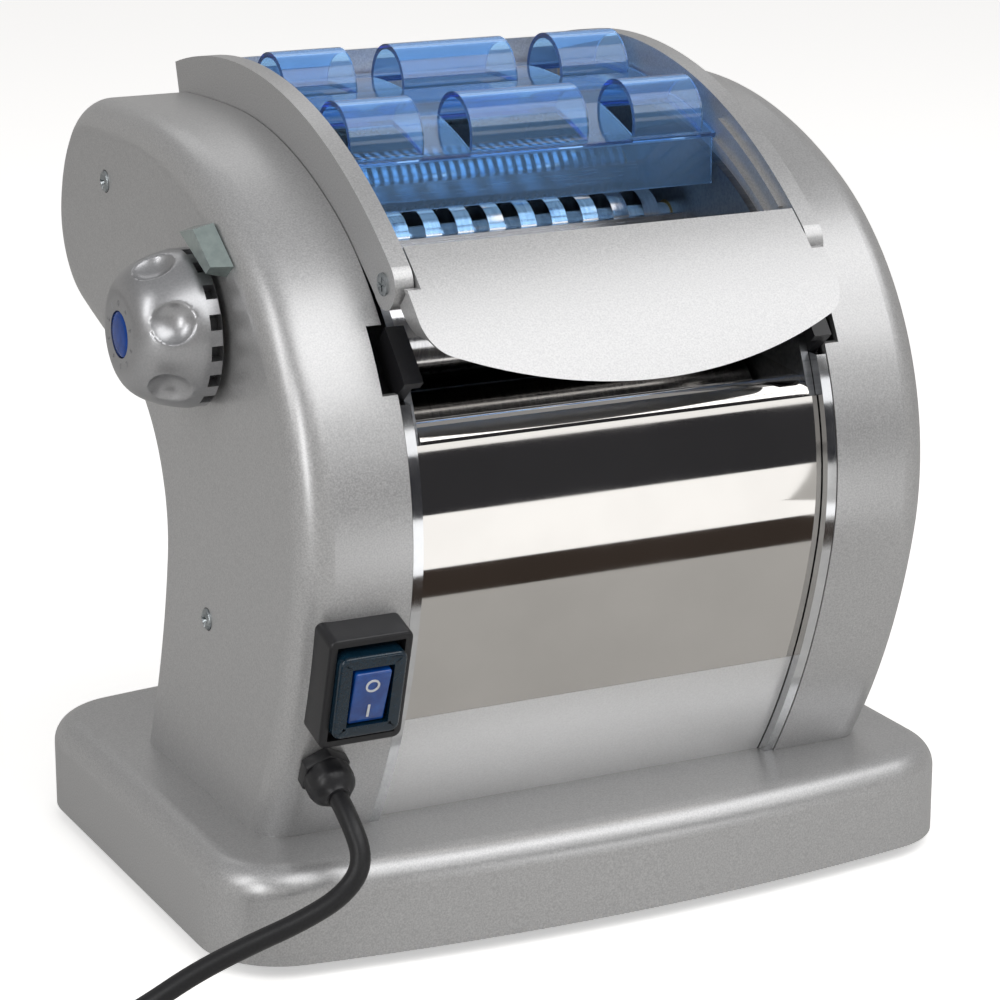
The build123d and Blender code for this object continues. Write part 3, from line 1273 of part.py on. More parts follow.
def main():
    """Make every piece and print the values that the record needs."""
    make_base()
    for side in (-1, 1):
        make_housing(side)
        make_frame_plate(side)
        make_cheek(side)
    make_housing_screws()
    make_tie_rods()
    make_bushes()
    make_brackets()
    make_trims()
    make_front_sheets()
    make_rear_cover()
    make_visor()
    make_guard()
    make_gears()
    make_idler_axles()
    make_rollers()
    make_combs()
    make_yoke()
    make_gap_shaft()
    make_knob()
    make_motor()
    make_switch()
    make_gland()
    make_cord()
    print("shift", SHIFT_X, SHIFT_Y)
    for name, point in (
        ("fixed", FIXED_AXIS),
        ("adjust", ADJUST_AXIS),
        ("wide rear", WIDE_REAR),
        ("fine rear", FINE_REAR),
        ("big idler", BIG_IDLER_AXIS),
        ("small idler", SMALL_IDLER_AXIS),
        ("motor", MOTOR_AXIS),
        ("visor pivot", VISOR_PIVOT),
        ("rocker pivot", pivot_point()),
    ):
        print(name, round(point[0] + SHIFT_Y, 3), round(point[1], 3))


main()
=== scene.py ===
"""Electric pasta maker: finishes, fine pieces, mains lead, studio and camera.

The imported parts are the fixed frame. Working sizes are millimetres about the
middle of the base, and `place` turns them into metres in the row frame: Z is
up, the front is towards -Y and the roller gap knob is on the -X side.
"""

import json
import logging
import math
from dataclasses import dataclass, field
from enum import Enum

import bmesh
import bpy
from mathutils import Matrix, Vector

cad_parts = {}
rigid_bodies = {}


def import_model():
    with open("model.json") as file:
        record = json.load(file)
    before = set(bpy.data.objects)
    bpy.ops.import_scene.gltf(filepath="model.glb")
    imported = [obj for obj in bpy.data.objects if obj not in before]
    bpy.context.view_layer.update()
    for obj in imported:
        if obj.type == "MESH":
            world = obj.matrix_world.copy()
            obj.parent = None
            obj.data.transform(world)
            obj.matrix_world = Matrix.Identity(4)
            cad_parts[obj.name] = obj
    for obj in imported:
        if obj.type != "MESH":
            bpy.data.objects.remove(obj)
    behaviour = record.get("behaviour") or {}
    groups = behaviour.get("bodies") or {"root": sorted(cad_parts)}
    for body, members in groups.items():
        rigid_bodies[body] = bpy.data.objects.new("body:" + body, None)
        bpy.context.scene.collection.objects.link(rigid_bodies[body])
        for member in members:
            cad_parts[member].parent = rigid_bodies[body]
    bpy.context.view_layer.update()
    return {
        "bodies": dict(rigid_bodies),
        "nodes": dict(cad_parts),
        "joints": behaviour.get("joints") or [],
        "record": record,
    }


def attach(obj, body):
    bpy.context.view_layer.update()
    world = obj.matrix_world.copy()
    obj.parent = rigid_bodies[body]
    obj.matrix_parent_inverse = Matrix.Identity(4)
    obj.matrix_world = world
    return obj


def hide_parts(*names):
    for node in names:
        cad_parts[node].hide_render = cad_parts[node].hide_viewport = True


LOG = logging.getLogger("pasta_maker")
MM = 0.001
SHIFT = Vector((3.0, -5.7326, 0.0))  # from the base's middle to the row frame
CHASSIS = "chassis"
KNOB_AXIS = Vector((0.0, -20.0, 217.0))


# ------------------------------------------------------------------ helpers
def place() -> Matrix:
    """Returns the matrix from working millimetres to metres in the row frame."""
    return Matrix.Scale(MM, 4) @ Matrix.Translation(SHIFT)


def linear(code: str) -> tuple[float, float, float, float]:
    """Turns an sRGB hex colour into a linear one.

    Args:
        code: the colour, as in "#8A8D91".

    Returns:
        The linear red, green and blue, with an alpha of 1.
    """
    parts = [int(code[i : i + 2], 16) / 255 for i in (1, 3, 5)]
    low = [c / 12.92 if c <= 0.04045 else ((c + 0.055) / 1.055) ** 2.4 for c in parts]
    return (low[0], low[1], low[2], 1.0)


def add_node(
    tree: bpy.types.NodeTree, kind: str, inputs: dict | None = None, **settings: object
) -> bpy.types.Node:
    """Adds a node with its settings, values and links.

    Args:
        tree: the node tree.
        kind: the node's type name.
        inputs: a value or another node's output for each input socket.
        **settings: the node's own properties.

    Returns:
        The new node.
    """
    node = tree.nodes.new(kind)
    for name, value in settings.items():
        setattr(node, name, value)
    for key, value in (inputs or {}).items():
        if isinstance(value, bpy.types.NodeSocket):
            tree.links.new(value, node.inputs[key])
        else:
            node.inputs[key].default_value = value
    return node


def frame_matrix(origin: Vector, normal: Vector, up: Vector) -> Matrix:
    """Returns the matrix of a plane whose local Z is its normal and local Y its up."""
    z_axis = normal.normalized()
    x_axis = up.cross(z_axis).normalized()
    y_axis = z_axis.cross(x_axis)
    columns = Matrix((x_axis, y_axis, z_axis)).transposed()
    return Matrix.Translation(origin) @ columns.to_4x4()


# ------------------------------------------------------------------ finishes
class Grain(Enum):
    """How a surface was made, which sets its fine pattern."""

    FLAKE = "sprayed metal flake"
    BRUSHED = "brushed along X"
    ROLLED = "rolled and matted"
    POLISHED = "polished"
    TURNED = "turned round X"
    MOULDED = "moulded"
    CLEAR = "clear moulded"


@dataclass(frozen=True)
class Finish:
    """One material: what it is, how it was made and what that gives the eye.

    Attributes:
        slot: the record's material slot.
        name: the real material's common name.
        colour: its sRGB colour.
        shade: the sRGB colour that its pattern mixes in.
        grain: the way its surface was made.
        grain_mm: the size of its pattern in millimetres.
        metallic: 1 for bare metal.
        roughness: the mean roughness.
        spread: how far the pattern moves the roughness.
        relief_mm: the depth of its bumps.
        coat: the weight of a clear coat.
        ior: the index of refraction of a non-metal.
    """

    slot: str
    name: str
    colour: str
    shade: str
    grain: Grain
    grain_mm: float
    metallic: float = 0.0
    roughness: float = 0.4
    spread: float = 0.05
    relief_mm: float = 0.0
    coat: float = 0.0
    ior: float = 1.5


# Flakes of 0.05 mm are too fine to show, so the lacquer's speckle is drawn at 0.6 mm.
# The roughness spread and the bump depth follow the same pattern as the two colours.
FINISHES = (
    # Sprayed aluminium lacquer: soft wide highlights with a fine speckle in them.
    Finish("silver_paint", "aluminium_lacquer", "#CFCFCF", "#B6B6B7", Grain.FLAKE, 0.6,
           metallic=0.68, roughness=0.36, spread=0.07, relief_mm=0.010),
    # Matted stainless sheet: paler and smoother than the lacquer.
    Finish("satin_sheet", "satin_stainless", "#F2F2F2", "#E8E8E8", Grain.ROLLED, 0.7,
           metallic=0.65, roughness=0.34, spread=0.05, relief_mm=0.006),
    # Stove enamel on steel: dark grey with a low sheen.
    Finish("black_sheet", "black_enamel", "#3A3A3D", "#2D2D31", Grain.MOULDED, 0.8,
           roughness=0.38, relief_mm=0.01),
    # Natural rubber with black filler: dull and slightly grained.
    Finish("foot_rubber", "black_rubber", "#141415", "#1E1E1F", Grain.MOULDED, 1.0,
           roughness=0.75, relief_mm=0.03),
    # Zinc plated steel: cool grey with a patchy sheen.
    Finish("zinc_steel", "zinc_plated_steel", "#B3B8BA", "#959B9E", Grain.ROLLED, 2.5,
           metallic=1.0, roughness=0.32, spread=0.10),
    # Cold rolled steel plate: darker, with a faint rolling direction.
    Finish("frame_steel", "cold_rolled_steel", "#97999C", "#7C7E82", Grain.BRUSHED, 1.2,
           metallic=1.0, roughness=0.38, spread=0.08),
    # Sintered bronze bushes: warm and matt.
    Finish("bush_brass", "sintered_bronze", "#C39A55", "#A27C3E", Grain.ROLLED, 0.8,
           metallic=1.0, roughness=0.42, spread=0.08),
    # Nylon with black filler: fine moulded texture. On the knob's slot ring this black is painted
    # shade.
    Finish("black_plastic", "black_nylon", "#202023", "#19191C", Grain.MOULDED, 0.8,
           roughness=0.36, relief_mm=0.012),
    # Polished stainless strip: sharp narrow reflections.
    Finish("chrome_trim", "bright_stainless", "#D9DADB", "#CFD0D2", Grain.POLISHED, 6.0,
           metallic=1.0, roughness=0.10, spread=0.03),
    # Mirror polished stainless: clear reflections, only a trace of waviness.
    Finish("polished_steel", "mirror_stainless", "#D2CFCB", "#CCC9C5", Grain.POLISHED, 40.0,
           metallic=1.0, roughness=0.045, spread=0.015, relief_mm=0.004),
    # Stamped stainless combs: bright with a light drag of the tool.
    Finish("comb_steel", "stamped_stainless", "#CFD0D2", "#B5B6B8", Grain.BRUSHED, 0.8,
           metallic=1.0, roughness=0.24, spread=0.06),
    # Greenish cast acrylic of the index lug: pale, with a glassy sheen like frosted glass.
    Finish("clear_green", "cast_acrylic", "#A0ADAA", "#93A09E", Grain.MOULDED, 3.0,
           metallic=0.45, roughness=0.22, coat=0.4),
    # Grey enamel on the motor can.
    Finish("motor_paint", "grey_enamel", "#5F6164", "#54565A", Grain.MOULDED, 0.9,
           roughness=0.34, relief_mm=0.01),
    # Silicone splash cover over the switch: dark teal and glossy.
    Finish("boot_teal", "dark_silicone", "#0A1F2C", "#0F2A3A", Grain.MOULDED, 1.6,
           roughness=0.16, coat=0.4, ior=1.43),
    # PVC sheath of the mains lead: black with a soft sheen.
    Finish("cord_rubber", "pvc_sheath", "#121214", "#1B1B1E", Grain.MOULDED, 0.9,
           roughness=0.42, relief_mm=0.01),
    # Blue polycarbonate of the sliding guard: clear, darker the longer light runs in it.
    Finish("clear_blue", "blue_polycarbonate", "#B2DBF8", "#A8D4F4", Grain.CLEAR, 30.0,
           roughness=0.03, ior=1.58),
    # Ground and chromed rollers: bright with fine turning marks round the axis.
    Finish("roller_steel", "chromed_steel", "#D2D2D3", "#BDBDBF", Grain.TURNED, 0.9,
           metallic=1.0, roughness=0.16, spread=0.05),
    # Chrome lacquered plastic of the knob: satin with soft bright edges.
    Finish("knob_plastic", "satin_chromed_abs", "#BDBDBF", "#B0B1B3", Grain.MOULDED, 0.7,
           metallic=0.95, roughness=0.33, spread=0.04, relief_mm=0.003),
    # Blue acrylic cap: deep. Its IOR is kept low, so pale reflections don't wash it out.
    Finish("cap_blue", "blue_acrylic", "#0D3C86", "#1148A0", Grain.MOULDED, 4.0,
           roughness=0.12, ior=1.3),
    # Blue polycarbonate rocker: deep and glossy.
    Finish("lens_blue", "rocker_polycarbonate", "#0B3C87", "#1150A5", Grain.MOULDED, 5.0,
           roughness=0.14, coat=0.5, ior=1.58),
    # White pad-printed marks.
    Finish("mark_white", "white_ink", "#E6E8EB", "#D8DBE0", Grain.MOULDED, 0.8,
           roughness=0.5),
    # Hobbed steel gears with oil on them.
    Finish("gear_steel", "hobbed_steel", "#8E9093", "#737578", Grain.TURNED, 0.8,
           metallic=1.0, roughness=0.30, spread=0.08),
)


@dataclass(frozen=True)
class ClearWall:
    """How the guard's clear moulding lets light through.

    Attributes:
        transmission: the share of light that passes its surface.
        shadow: the sRGB tint of the light that it lets through to what lies below.
        depth: the sRGB colour that a long way through it takes.
        density: how fast that colour deepens, per metre.
    """

    transmission: float = 0.9
    shadow: str = "#E0EEFA"
    depth: str = "#5AA6E8"
    density: float = 150.0


class FinishBook:
    """Every finish as a material, by its slot.

    Attributes:
        colour_ends: the pattern's values that take the shade and the colour.
        rough_ends: the pattern's values that take the least and the most roughness.
        coat_roughness: the roughness of every clear coat.
    """

    colour_ends: tuple[float, float] = (0.32, 0.68)
    rough_ends: tuple[float, float] = (0.3, 0.7)
    coat_roughness: float = 0.06

    def __init__(self) -> None:
        """Builds the materials."""
        self.materials = {finish.slot: self.build(finish) for finish in FINISHES}

    def build(self, finish: Finish) -> bpy.types.Material:
        """Builds one finish's node material and returns it."""
        material = bpy.data.materials.new(finish.name)
        material.use_nodes = True
        tree = material.node_tree
        shader = tree.nodes["Principled BSDF"]
        shader.inputs["Metallic"].default_value = finish.metallic
        shader.inputs["Coat Weight"].default_value = finish.coat
        shader.inputs["Coat Roughness"].default_value = self.coat_roughness
        if finish.metallic < 0.5:
            shader.inputs["IOR"].default_value = finish.ior
        pattern = self.pattern(tree, finish)
        ramp = add_node(tree, "ShaderNodeValToRGB", {"Fac": pattern})
        stops = zip(ramp.color_ramp.elements, self.colour_ends, (finish.shade, finish.colour))
        for stop, position, colour in stops:
            stop.position = position
            stop.color = linear(colour)
        tree.links.new(ramp.outputs["Color"], shader.inputs["Base Color"])
        rough = add_node(
            tree,
            "ShaderNodeMapRange",
            {
                "Value": pattern,
                "From Min": self.rough_ends[0],
                "From Max": self.rough_ends[1],
                "To Min": max(finish.roughness - finish.spread, 0.01),
                "To Max": finish.roughness + finish.spread,
            },
        )
        tree.links.new(rough.outputs["Result"], shader.inputs["Roughness"])
        if finish.relief_mm:
            bump = add_node(
                tree,
                "ShaderNodeBump",
                {"Height": pattern, "Strength": 1.0, "Distance": finish.relief_mm * MM},
            )
            tree.links.new(bump.outputs["Normal"], shader.inputs["Normal"])
        if finish.grain is Grain.CLEAR:
            self.clear(tree, shader)
        return material

    def pattern(self, tree: bpy.types.NodeTree, finish: Finish) -> bpy.types.NodeSocket:
        """Makes a finish's fine pattern.

        Args:
            tree: the finish's node tree.
            finish: the finish.

        Returns:
            The socket of the pattern, from 0 to 1.
        """
        along = {
            Grain.BRUSHED: (0.04, 1.0, 1.0),
            Grain.TURNED: (1.0, 0.12, 0.12),
        }.get(finish.grain, (1.0, 1.0, 1.0))
        source = add_node(tree, "ShaderNodeTexCoord")
        mapped = add_node(
            tree, "ShaderNodeMapping", {"Vector": source.outputs["Object"], "Scale": along}
        )
        detail = 2.0 if finish.grain in (Grain.FLAKE, Grain.ROLLED) else 3.0
        noise = add_node(
            tree,
            "ShaderNodeTexNoise",
            {
                "Vector": mapped.outputs["Vector"],
                "Scale": 1.0 / (finish.grain_mm * MM),
                "Detail": detail,
                "Roughness": 0.55,
            },
        )
        return noise.outputs["Fac"]

    def clear(self, tree: bpy.types.NodeTree, shader: bpy.types.Node) -> None:
        """Makes a shader see-through, blue in its depth and lit through its walls."""
        wall = ClearWall()
        shader.inputs["Transmission Weight"].default_value = wall.transmission
        path = add_node(tree, "ShaderNodeLightPath")
        tinted = add_node(tree, "ShaderNodeBsdfTransparent", {"Color": linear(wall.shadow)})
        mixed = add_node(
            tree,
            "ShaderNodeMixShader",
            {0: path.outputs["Is Shadow Ray"], 1: shader.outputs[0], 2: tinted.outputs[0]},
        )
        depth = add_node(
            tree,
            "ShaderNodeVolumeAbsorption",
            {"Color": linear(wall.depth), "Density": wall.density},
        )
        output = tree.nodes["Material Output"]
        tree.links.new(mixed.outputs[0], output.inputs["Surface"])
        tree.links.new(depth.outputs[0], output.inputs["Volume"])


# ------------------------------------------------------------------ pieces
@dataclass
class Workshop:
    """Turns finished bmeshes into pieces on the frame.

    Attributes:
        book: the finishes.
    """

    book: FinishBook

    def piece(
        self,
        mesh: bmesh.types.BMesh,
        name: str,
        slot: str,
        body: str = CHASSIS,
        nodes: tuple[str, ...] = (),
        sharp: float = 40.0,
    ) -> bpy.types.Object:
        """Makes an object of a bmesh, dresses it and lets it ride.

        Args:
            mesh: the shape, in working millimetres. It is freed.
            name: the piece's name.
            slot: the material slot.
            body: the body that carries it.
            nodes: the CAD nodes that it stands for.
            sharp: the angle in degrees from which an edge stays sharp.

        Returns:
            The new object.
        """
        bmesh.ops.remove_doubles(mesh, verts=mesh.verts, dist=0.0005)
        bmesh.ops.recalc_face_normals(mesh, faces=mesh.faces)
        mesh.transform(place())
        data = bpy.data.meshes.new(name)
        mesh.to_mesh(data)
        mesh.free()
        data.polygons.foreach_set("use_smooth", [True] * len(data.polygons))
        data.set_sharp_from_angle(angle=math.radians(sharp))
        return self.settle(bpy.data.objects.new(name, data), slot, body, nodes)

    def settle(
        self, piece: bpy.types.Object, slot: str, body: str, nodes: tuple[str, ...]
    ) -> bpy.types.Object:
        """Links a piece, gives it its finish, hangs it on its body, says what it rides on and hides
        the nodes that it replaces.
        """
        bpy.context.scene.collection.objects.link(piece)
        piece.data.materials.append(self.book.materials[slot])
        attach(piece, body)
        if nodes:
            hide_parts(*nodes)
        LOG.info("%s rides on %s in %s", piece.name, body, slot)
        return piece


def spun(
    profile: list[tuple[float, float]], seat: Matrix, steps: int
) -> bmesh.types.BMesh:
    """Spins a profile of (radius, height) points round a seat's local Z.

    Args:
        profile: the points, which may start or end on the axis.
        seat: the matrix of the seat in working millimetres.
        steps: the number of steps of the full turn.

    Returns:
        The closed shape.
    """
    mesh = bmesh.new()
    verts = [mesh.verts.new((radius, 0.0, height)) for radius, height in profile]
    edges = [mesh.edges.new(pair) for pair in zip(verts, verts[1:])]
    bmesh.ops.spin(
        mesh,
        geom=verts + edges,
        cent=(0, 0, 0),
        axis=(0, 0, 1),
        angle=math.tau,
        steps=steps,
        use_merge=True,
    )
    bmesh.ops.remove_doubles(mesh, verts=mesh.verts, dist=0.001)
    mesh.transform(seat)
    return mesh


def new_verts(geometry: list) -> list[bmesh.types.BMVert]:
    """Returns the vertices among what an operator made."""
    return [item for item in geometry if isinstance(item, bmesh.types.BMVert)]


def bevel(mesh: bmesh.types.BMesh, edges: list, size: float, segments: int = 3) -> None:
    """Rounds edges by a size in millimetres."""
    bmesh.ops.bevel(
        mesh,
        geom=edges,
        offset=size,
        offset_type="OFFSET",
        affect="EDGES",
        segments=segments,
        profile=0.5,
        material=-1,
        clamp_overlap=True,
    )


def block(
    width: float, height: float, low: float, high: float, corner: float
) -> bmesh.types.BMesh:
    """Makes a block between two heights with its upright edges rounded.

    Args:
        width: the block's size along local X.
        height: the block's size along local Y.
        low: the local Z of its foot.
        high: the local Z of its top.
        corner: the radius of its upright edges.

    Returns:
        The block.
    """
    mesh = bmesh.new()
    bmesh.ops.create_cube(mesh, size=1.0)
    size = Matrix.Diagonal((width, height, high - low, 1.0))
    mesh.transform(Matrix.Translation((0, 0, (low + high) / 2)) @ size)
    upright = [
        edge for edge in mesh.edges if abs(edge.verts[0].co.z - edge.verts[1].co.z) > 0.01
    ]
    bevel(mesh, upright, corner, 5)
    return mesh


def top_face(mesh: bmesh.types.BMesh) -> bmesh.types.BMFace:
    """Returns the face that lies highest along local Z, and the largest of several."""
    return max(
        mesh.faces, key=lambda face: (round(face.calc_center_median().z, 4), face.calc_area())
    )


def sink_top(mesh: bmesh.types.BMesh, rim: float, depth: float) -> None:
    """Insets the top face by a rim, sinks it and rounds the rim's outer edge."""
    face = top_face(mesh)
    outer = list(face.edges)
    bmesh.ops.inset_region(mesh, faces=[face], thickness=rim, use_even_offset=True)
    extruded = bmesh.ops.extrude_face_region(mesh, geom=[face])["geom"]
    bmesh.ops.delete(mesh, geom=[face], context="FACES_ONLY")
    bmesh.ops.translate(mesh, verts=new_verts(extruded), vec=(0, 0, -depth))
    bevel(mesh, [edge for edge in outer if edge.is_valid], min(rim * 0.4, 1.0))


# ------------------------------------------------------------------ mains lead
@dataclass
class MainsLead:
    """The mains lead: gland, sheath with its coil, tie and plug.

    Attributes:
        diameter: the sheath's diameter.
        coil_centre: the middle of the put-away coil on the worktop.
        tracks: the radius and height of each track that the coil's turns follow.
        changes: the point at which each change to the next track starts.
        change_points: how many points a change takes.
        turn_points: the route's points in each turn.
        last_point: the coil's last point, where the end leaves for the plug.
        start_angle: where the lead meets the coil, in degrees.
        gland_foot: the middle of the gland's foot on the band.
        gland_axis: the gland's direction out of the band.
        gland_length: how far the gland stands out along its axis.
        gland_hex: the radius of its hexagon at the corners.
        gland_ribs: the ribs and grooves round its cap nut, counted together.
        plug_seat: the point from which the plug's sizes run.
        plug_size: the width and thickness of the plug's grip.
        pin_radius: the radius of the plug's pins.
        pin_arm: how far each pin stands from the plug's middle.
        pin_tip: how far the pins reach from the plug's seat.
        length: the lead's length in metres; not used.
    """

    shop: Workshop
    diameter: float = 7.2
    coil_centre: Vector = field(default_factory=lambda: Vector((-258.0, -187.0, 0.0)))
    tracks: tuple[tuple[float, float], ...] = (
        (47.6, 3.9), (40.2, 3.9), (32.8, 3.9), (32.8, 11.2), (40.2, 11.2), (47.6, 11.2),
        (54.2, 8.6),
    )
    changes: tuple[int, ...] = (13, 31, 41, 52, 70, 88)
    change_points: int = 5
    turn_points: int = 18
    last_point: int = 97
    start_angle: float = 100.0
    gland_foot: Vector = field(default_factory=lambda: Vector((-110.0, -84.704, 72.0)))
    gland_axis: Vector = field(default_factory=lambda: Vector((0.0, -0.9054, -0.4245)))
    gland_length: float = 15.0
    gland_hex: float = 9.6
    gland_ribs: int = 48
    plug_seat: Vector = field(default_factory=lambda: Vector((-232.0, -234.2, 7.3)))
    plug_size: tuple[float, float] = (30.0, 14.0)
    pin_radius: float = 2.2
    pin_arm: float = 9.5
    pin_tip: float = 69.0
    length: float = 1.7

    def build(self) -> None:
        """Builds the lead and the pieces on it."""
        exit_point = self.gland_foot + self.gland_axis * self.gland_length
        sheath = self.sheath(exit_point)
        plug = self.plug()
        tie = self.tie()
        self.gland()

    def route(self, exit_point: Vector) -> list[Vector]:
        """Returns the lead's control points from the gland to the plug."""
        points = [
            exit_point,
            exit_point + self.gland_axis * 13.0,
            Vector((-109.0, -118.5, 48.0)),
            Vector((-117.0, -119.5, 38.0)),
            Vector((-133.0, -119.0, 31.0)),
            Vector((-152.0, -117.0, 25.0)),
            Vector((-171.0, -115.5, 18.0)),
            Vector((-190.0, -116.5, 9.5)),
            Vector((-211.0, -120.0, 3.9)),
            Vector((-233.0, -129.0, 3.8)),
            Vector((-250.0, -138.5, 3.8)),
        ]
        points += self.turns()
        points += [
            Vector((-278.0, -236.6, 8.2)),
            Vector((-268.0, -239.6, 7.6)),
            Vector((-257.0, -240.4, 7.4)),
            Vector((-246.0, -238.6, 7.3)),
            Vector((-236.0, -235.6, 7.3)),
            Vector((-226.0, -234.2, 7.3)),
            Vector((-214.0, -234.2, 7.3)),
        ]
        return points

    def turns(self) -> list[Vector]:
        """Returns the coil's points: it changes from track to track over a few of them."""
        fall = math.cos(math.pi / self.turn_points) ** 2  # the curve runs inside its points
        points = []
        for index in range(1, self.last_point + 1):
            radius, height = self.tracks[0]
            for start, (new_radius, new_height) in zip(self.changes, self.tracks[1:]):
                share = min(max((index - start) / self.change_points, 0.0), 1.0)
                radius += (new_radius - radius) * share
                height += (new_height - height) * share
            angle = math.radians(self.start_angle + 360.0 / self.turn_points * index)
            arm = Vector((math.cos(angle), math.sin(angle), 0.0)) * (radius / fall)
            points.append(self.coil_centre + arm + Vector((0, 0, height)))
        return points

    def sheath(self, exit_point: Vector) -> bpy.types.Object:
        """Makes the sheath, one smooth curve from the gland to the plug."""
        curve = bpy.data.curves.new("mains_lead", "CURVE")
        curve.dimensions = "3D"
        curve.bevel_depth = self.diameter / 2 * MM
        curve.bevel_resolution = 5
        curve.resolution_u = 6
        points = self.route(exit_point)
        spline = curve.splines.new("NURBS")
        spline.points.add(len(points) - 1)
        for slot, point in zip(spline.points, points):
            slot.co = (*(place() @ point), 1.0)
        spline.order_u = 3
        spline.use_endpoint_u = True
        piece = bpy.data.objects.new("mains_lead", curve)
        return self.shop.settle(piece, "cord_rubber", CHASSIS, ("cord_flex", "cord_coil"))

    def gland(self) -> bpy.types.Object:
        """Makes the cable gland: hexagon, ribbed cap nut and rubber lip."""
        seat = frame_matrix(self.gland_foot, self.gland_axis, Vector((0, 0, 1)))
        cap = spun(
            [(0, 4.6), (8.2, 4.8), (8.7, 5.6), (8.7, 10.0), (8.0, 12.0), (6.2, 14.0),
             (4.9, 14.8), (4.5, 16.2), (3.7, 16.4), (3.7, 13.0), (0, 13.0)],
            Matrix.Identity(4),
            self.gland_ribs,
        )
        for vert in cap.verts:
            turn = math.atan2(vert.co.y, vert.co.x) / math.tau * self.gland_ribs
            if 5.0 < vert.co.z < 11.0 and round(turn) % 2:
                vert.co.xy *= 0.945
        nut = bmesh.new()
        bmesh.ops.create_circle(nut, cap_ends=True, radius=self.gland_hex, segments=6)
        raised = bmesh.ops.extrude_face_region(nut, geom=list(nut.faces))["geom"]
        bmesh.ops.translate(nut, verts=new_verts(raised), vec=(0, 0, 5.0))
        bevel(nut, list(nut.edges), 0.5, 2)
        return self.shop.piece(join([cap, nut], seat), "cable_gland", "black_plastic",
                               nodes=("cord_gland",), sharp=50)

    def tie(self) -> bpy.types.Object:
        """Makes the strap round the coil's turns."""
        radius = (self.tracks[0][0] + self.tracks[2][0]) / 2  # the middle of the turns
        strap = block(24.4, 15.6, -5.0, 5.0, 4.0)
        tops = [face for face in strap.faces if abs(face.normal.z) > 0.9]
        bmesh.ops.delete(strap, geom=tops, context="FACES_ONLY")
        bmesh.ops.solidify(strap, geom=list(strap.faces), thickness=0.8)
        seat = frame_matrix(
            self.coil_centre + Vector((radius, 0.0, 7.6)), Vector((0, 1, 0)), Vector((0, 0, 1))
        )
        strap.transform(seat)
        return self.shop.piece(strap, "coil_tie", "black_plastic")

    def plug(self) -> bpy.types.Object:
        """Makes the plug: collar, grip body and two pins."""
        seat = frame_matrix(self.plug_seat, Vector((1, 0, 0)), Vector((0, 0, 1)))
        collar = spun(
            [(0, 4.0), (4.2, 4.0), (5.0, 7.0), (5.0, 9.0), (4.7, 9.6), (5.2, 10.4),
             (5.2, 12.4), (4.9, 13.0), (5.4, 13.8), (5.4, 18.0), (0, 18.0)],
            Matrix.Identity(4),
            32,
        )
        body = block(*self.plug_size, 16.0, 50.0, 6.0)
        for vert in body.verts:
            if vert.co.z < 20.0:
                vert.co.x *= 0.62
        bevel(body, [edge for edge in body.edges if edge.calc_face_angle(0) > 1.0], 1.4)
        pin = [
            (0, 49.0), (self.pin_radius, 49.0), (self.pin_radius, self.pin_tip - 1.6),
            (self.pin_radius - 0.8, self.pin_tip), (0, self.pin_tip),
        ]
        pins = [
            spun(pin, Matrix.Translation((side * self.pin_arm, 0, 0)), 20) for side in (-1, 1)
        ]
        return self.shop.piece(join([collar, body, *pins], seat), "mains_plug", "cord_rubber",
                               nodes=("cord_plug",))


def join(meshes: list[bmesh.types.BMesh], seat: Matrix) -> bmesh.types.BMesh:
    """Puts several shapes into one, then seats it.

    Args:
        meshes: the shapes in local millimetres. All but the result are freed.
        seat: the matrix of the seat in working millimetres.

    Returns:
        The joined shape.
    """
    whole = bmesh.new()
    for mesh in meshes:
        data = bpy.data.meshes.new("joined")
        mesh.to_mesh(data)
        mesh.free()
        whole.from_mesh(data)
        bpy.data.meshes.remove(data)
    whole.transform(seat)
    return whole


